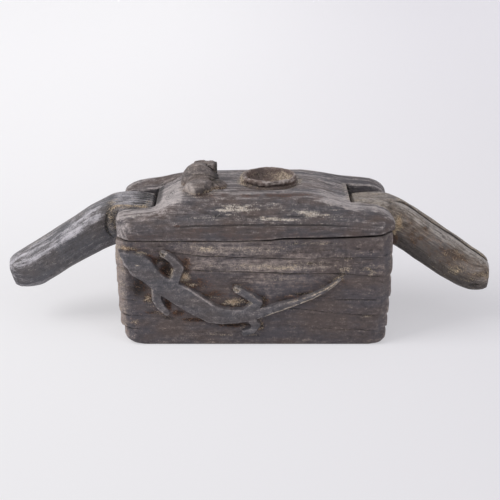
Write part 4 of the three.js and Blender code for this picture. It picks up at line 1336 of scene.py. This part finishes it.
def cup_skin():
    """Closed skin of the cup, with chips in its lip, a ragged wall in front and crust on its sides."""
    path = np.array(CUP_WALL, float)
    run = np.concatenate([[0], np.cumsum(np.linalg.norm(np.diff(path, axis=0), axis=1))])
    places = np.arange(CUP_STEP, run[-1] - 0.4, CUP_STEP)
    radius, height = np.interp(places, run, path[:, 0]), np.interp(places, run, path[:, 1])
    angle = np.arange(CUP_ROUND) * 2 * math.pi / CUP_ROUND
    ring_x, ring_y = np.cos(angle), np.sin(angle)

    def round_it(turns, level, seed):
        """Swells round the ring, the more of them the greater turns is."""
        return swell(ring_x * turns, ring_y * turns, level, seed)

    front = ease(0.1, 0.8, -ring_y)
    chips = 0.7 * ease(0.0, 0.8, round_it(3.4, 0, 121)) + 0.5 * ease(0.1, 0.7, round_it(11, 0, 122))
    layers = []
    for r, z in zip(radius, height):
        chip = near(r, 28.5, 2.6) * (z > 170.5) * (0.5 + 1.3 * front) * chips
        undercut = (0.5 + 1.0 * front) * near(z, 170.2, 1.4) * (r > 27)
        uneven = 0.5 * round_it(2.2, z / 9, 123) + 0.4 * round_it(9, z / 2.5, 124)
        uneven = uneven + 1.2 * front * (r > 29) * (z > 171) * ease(-0.3, 0.7, round_it(6, 2, 125))
        uneven = uneven + (0.5 + front) * 0.6 * (r > 28) * (z > 170) * round_it(14, z / 3, 126)
        left_lump = ease(0.72, 0.94, -ring_x + 0.12 * ring_y) * (1 + 0.4 * swell(0, ring_y * 9, z / 2, 128))
        uneven = uneven + 3.2 * near(z, 172, 4.6) * (r > 28) * left_lump
        uneven = uneven + 1.8 * near(z, 168, 4) * (r > 28.5) * ease(0.75, 0.96, ring_x)
        reach = r + uneven * (r > 8) - undercut
        layers.append(np.stack([CUP_X + reach * ring_x, CUP_Y + reach * ring_y, z - chip], 1))
    return closed_rings(layers, [CUP_X, CUP_Y, CUP_FOOT], [CUP_X, CUP_Y, BOWL_FLOOR])


def cup_marks(points, hollow, rub):
    """Where the cup is dusty, earthy, rubbed and sooty, with painted shade on its outer wall under and on the
    lip.
    """
    x, y, z = points.T
    far = np.hypot(x - CUP_X, y - CUP_Y)
    bowl = ease(27.2, 25.5, far) * ease(161, 163, z)
    right = ease(-6, 16, x - CUP_X)
    # The outer wall below the lip carries painted shade in the hollow mark, along with its earth and dust.
    foot = ease(28, 30, far) * ease(171.5, 169, z)
    front = ease(10, -10, y - CUP_Y)
    lumps = patches(x, z, [(-10.5, 172.5, 4.5, 8, 1.1), (54.5, 168, 3, 4, 0.5)])
    rim = ease(26.5, 28, far) * ease(174.5, 176, z) * (1 - front)
    # Painted shade on the front of the lip's outer wall, broken where it is nicked.
    wall = front * ease(28.5, 29.5, far) * ease(170, 172, z)
    nicks = front * ease(27, 28.5, far) * ease(172, 174, z) * ease(0.1, 0.6, swell(x / 3, y / 6, z / 2, 127))
    return {"dust": bowl * (0.25 + 0.6 * right) + 0.25 * foot * front + 0.1 * hollow + lumps + 0.35 * rim,
            "earth": 0.3 * bowl + 0.4 * foot,
            "rub": 0.35 * rub + 0.15 * (1 - bowl) * (1 - wall) + 0.8 * nicks,
            "hollow": 0.7 * hollow + 0.1 * bowl * (1 - right) + 0.4 * foot + 0.25 * wall * (1 - nicks)}


cup = lay_down("cup", *cup_skin(), cup_marks)
cup.data.materials.append(smoked_wood("crusted_cup_wood", CUP_BROWN, CUP_GREY, CUP_WORN, CUP_CRUST, CUP_EARTH,
                                      gloss=0.55, streaky=0.5))
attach(cup, "lid")
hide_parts("lid_cup")


# Crumbs of old offerings cling to the crust: small uneven grains, scattered on each block where its crust
# is thick and half sunk in it. A tree of Geometry Nodes lays them on a copy of the block's own skin.
THIN_CRUST = 0.55
CRUMBS_TO_A_SQUARE_METRE = 420000.0
CRUMB_RADIUS = 0.42 * MM
SMALLEST_CRUMB, LARGEST_CRUMB = (0.5, 0.4, 0.4), (1.5, 1.1, 1.0)
CRUMB_TAN = rgb(160, 134, 106)
CRUMB_PALE = rgb(236, 222, 204)
CRUMB_INPUTS = {"Skin": "Geometry", "Density": "Float", "Radius": "Float", "Seed": "Int",
                "Finish": "Material"}
TROUGH_CRUMB_SEED, LID_CRUMB_SEED = 3, 5


def crumb_tree():
    """Nodes that scatter turned and stretched grains where the dust on a skin is thick."""
    tree = bpy.data.node_groups.new("crust_crumbs", "GeometryNodeTree")
    for name, kind in CRUMB_INPUTS.items():
        tree.interface.new_socket(name, in_out="INPUT", socket_type="NodeSocket" + kind)
    tree.interface.new_socket("Crumbs", in_out="OUTPUT", socket_type="NodeSocketGeometry")
    begin = Stain(tree)
    given = tree.nodes.new("NodeGroupInput")
    skin, density, radius, seed, finish = [Stain(tree, given.outputs[name]) for name in CRUMB_INPUTS]
    vector = {"data_type": "FLOAT_VECTOR"}
    crust = begin.node("GeometryNodeInputNamedAttribute", {"data_type": "FLOAT"}, {"Name": "dust"},
                       out="Attribute")
    thick = begin.maths("MAXIMUM", crust - THIN_CRUST, 0.0)
    places = begin.node("GeometryNodeDistributePointsOnFaces", {},
                        {"Mesh": skin, "Density": density * thick, "Seed": seed})
    grain = begin.node("GeometryNodeMeshIcoSphere", {}, {"Radius": radius, "Subdivisions": 1})
    size = begin.node("FunctionNodeRandomValue", vector,
                      {"Min": SMALLEST_CRUMB, "Max": LARGEST_CRUMB, "Seed": seed})
    turn = begin.node("FunctionNodeRandomValue", vector,
                      {"Min": (0, 0, 0), "Max": (math.tau, math.tau, math.tau), "Seed": seed + 1})
    scattered = begin.node("GeometryNodeInstanceOnPoints", {},
                           {"Points": places, "Instance": grain, "Scale": size, "Rotation": turn})
    solid = begin.node("GeometryNodeRealizeInstances", {}, {"Geometry": scattered})
    finished = begin.node("GeometryNodeSetMaterial", {}, {"Geometry": solid, "Material": finish})
    begin.node("NodeGroupOutput", {}, {"Crumbs": finished})
    return tree


def crumb_crust():
    """Pale dry crust, tan in places."""
    material, begin = blank_finish("crumb_crust")
    place = begin.node("ShaderNodeTexCoord", {}, {}, out="Object")
    colour = place.spots(420, 2).between(0.3, 0.7).blend(CRUMB_TAN, CRUMB_PALE)
    skin = begin.node("ShaderNodeBsdfPrincipled", {}, {"Base Color": colour, "Roughness": 0.8})
    begin.node("ShaderNodeOutputMaterial", {}, {"Surface": skin})
    return material


def scatter(name, skin, seed, tree, finish):
    """The crumbs on a copy of one piece's skin, as a plain mesh."""
    carrier = placed(name, skin.data.copy())
    modifier = carrier.modifiers.new("crumbs", "NODES")
    modifier.node_group = tree
    values = {"Density": CRUMBS_TO_A_SQUARE_METRE, "Radius": CRUMB_RADIUS, "Seed": seed, "Finish": finish}
    for socket in tree.interface.items_tree:
        if socket.name in values:
            modifier[socket.identifier] = values[socket.name]
    shown = carrier.evaluated_get(bpy.context.evaluated_depsgraph_get())
    crumbs = bpy.data.meshes.new_from_object(shown)
    carrier.modifiers.clear()
    carrier.data = crumbs
    return carrier


crumb_nodes = crumb_tree()
crumb_finish = crumb_crust()
trough_crumbs = scatter("trough_crumbs", box, TROUGH_CRUMB_SEED, crumb_nodes, crumb_finish)
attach(trough_crumbs, "box")
lid_crumbs = scatter("lid_crumbs", lid, LID_CRUMB_SEED, crumb_nodes, crumb_finish)
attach(lid_crumbs, "lid")


# The stage: one pale seamless sheet of paper, level under the box and rising far behind it.
# It is no part of the object. Its sizes are in metres.
SHEET_HALF_WIDTH, SHEET_FRONT, SHEET_TOP = 4, -3.0, 4.0
SHEET_RISE_FROM, SHEET_BEND, BEND_STEPS = 2.2, 1.2, 12
PAPER_GLOW, GLOW_STRENGTH = 0.46, 1.13
PAPER_LIT_LEFT = rgb(253, 252, 254)
PAPER_DIMMER_RIGHT = rgb(237, 235, 240)
TO_THE_RIGHT, AWAY_AND_UP = (1, 0, 0), (0, 1, 0.6)


def sheet():
    """The sheet's mesh, swept along a profile that bends up far behind."""
    across = np.linspace(-SHEET_HALF_WIDTH, SHEET_HALF_WIDTH, 9)
    profile = [(SHEET_FRONT, 0.0), (-1.0, 0.0), (0.0, 0.0), (1.0, 0.0), (SHEET_RISE_FROM, 0.0)]
    for step in range(1, BEND_STEPS + 1):
        angle = step / BEND_STEPS * math.pi / 2
        profile.append((SHEET_RISE_FROM + SHEET_BEND * math.sin(angle), SHEET_BEND * (1 - math.cos(angle))))
    profile.append((SHEET_RISE_FROM + SHEET_BEND, SHEET_TOP))
    points = [(x, y, z) for y, z in profile for x in across]
    width = len(across)
    faces = [(row * width + i, row * width + i + 1, (row + 1) * width + i + 1, (row + 1) * width + i)
             for row in range(len(profile) - 1) for i in range(width - 1)]
    mesh = bpy.data.meshes.new("backdrop")
    mesh.from_pydata(points, [], faces)
    for polygon in mesh.polygons:
        polygon.use_smooth = True
    return mesh


def sheet_paper():
    """White paper that the camera and gloss see partly at its own brightness, so that it stays pale where
    the light falls off."""
    material, begin = blank_finish("pale_paper")
    place = begin.node("ShaderNodeTexCoord", {}, {}, out="Object")
    right, away = [begin.node("ShaderNodeVectorMath", {"operation": "DOT_PRODUCT"}, {0: place, 1: way},
                              out="Value") for way in (TO_THE_RIGHT, AWAY_AND_UP)]
    # Painted light: the paper is made lighter to the left and further back and up, where the lamp's light
    # falls more, and dimmer to the right and near the front.
    colour = right.between(-0.4, 0.7).blend(PAPER_LIT_LEFT, PAPER_DIMMER_RIGHT)
    colour = colour.shade(0.875 + 0.17 * away.between(-0.4, 2.6))
    paper = begin.node("ShaderNodeBsdfDiffuse", {}, {"Color": colour, "Roughness": 1.0})
    glow = begin.node("ShaderNodeEmission", {}, {"Color": colour, "Strength": GLOW_STRENGTH})
    seen, glossy = [begin.node("ShaderNodeLightPath", {}, {}, out=ray)
                    for ray in ("Is Camera Ray", "Is Glossy Ray")]
    share = PAPER_GLOW * begin.maths("MAXIMUM", seen, glossy)
    surface = begin.node("ShaderNodeMixShader", {}, {0: share, 1: paper, 2: glow})
    begin.node("ShaderNodeOutputMaterial", {}, {"Surface": surface})
    return material


backdrop = placed("backdrop", sheet())
backdrop.data.materials.append(sheet_paper())


# Plain studio light: one broad soft lamp from the upper left, a weak one from the right, and a pale room.
# The camera stands in front, 20 degrees above the level, with a long lens.
LAMPS_AIM = Vector((0, 0, 0.08))
LAMP_SIZE = 1.6
ROOM_COLOUR, ROOM_STRENGTH = (0.97, 0.97, 1.0, 1.0), 0.5
CAMERA_PLACE = Vector((0.0, -1.28738, 0.55507))
CAMERA_AIM = Vector((0.0, 0.0, 0.0865))


def aimed(thing, place, aim):
    """Puts a lamp or the camera at a place and turns it to look at another."""
    thing.location = place
    thing.rotation_euler = (aim - Vector(place)).to_track_quat("-Z", "Y").to_euler()


def soft_lamp(name, place, power, colour):
    light = bpy.data.lights.new(name, "AREA")
    light.energy = power
    light.size = LAMP_SIZE
    light.color = colour
    aimed(placed(name, light), place, LAMPS_AIM)


soft_lamp("window_left", (-1.9, -0.7, 1.7), 36, (1.0, 0.99, 0.98))
soft_lamp("fill_right", (1.8, -1.6, 1.3), 7, (0.97, 0.98, 1.0))
room = bpy.data.worlds.new("room")
room.use_nodes = True
room.node_tree.nodes["Background"].inputs["Color"].default_value = ROOM_COLOUR
room.node_tree.nodes["Background"].inputs["Strength"].default_value = ROOM_STRENGTH
bpy.context.scene.world = room
bpy.context.scene.view_settings.view_transform = "Standard"

lens = bpy.data.cameras.new("camera")
lens.lens = 85.0
lens.sensor_width = 36.0
camera = placed("camera", lens)
aimed(camera, CAMERA_PLACE, CAMERA_AIM)
bpy.context.scene.camera = camera
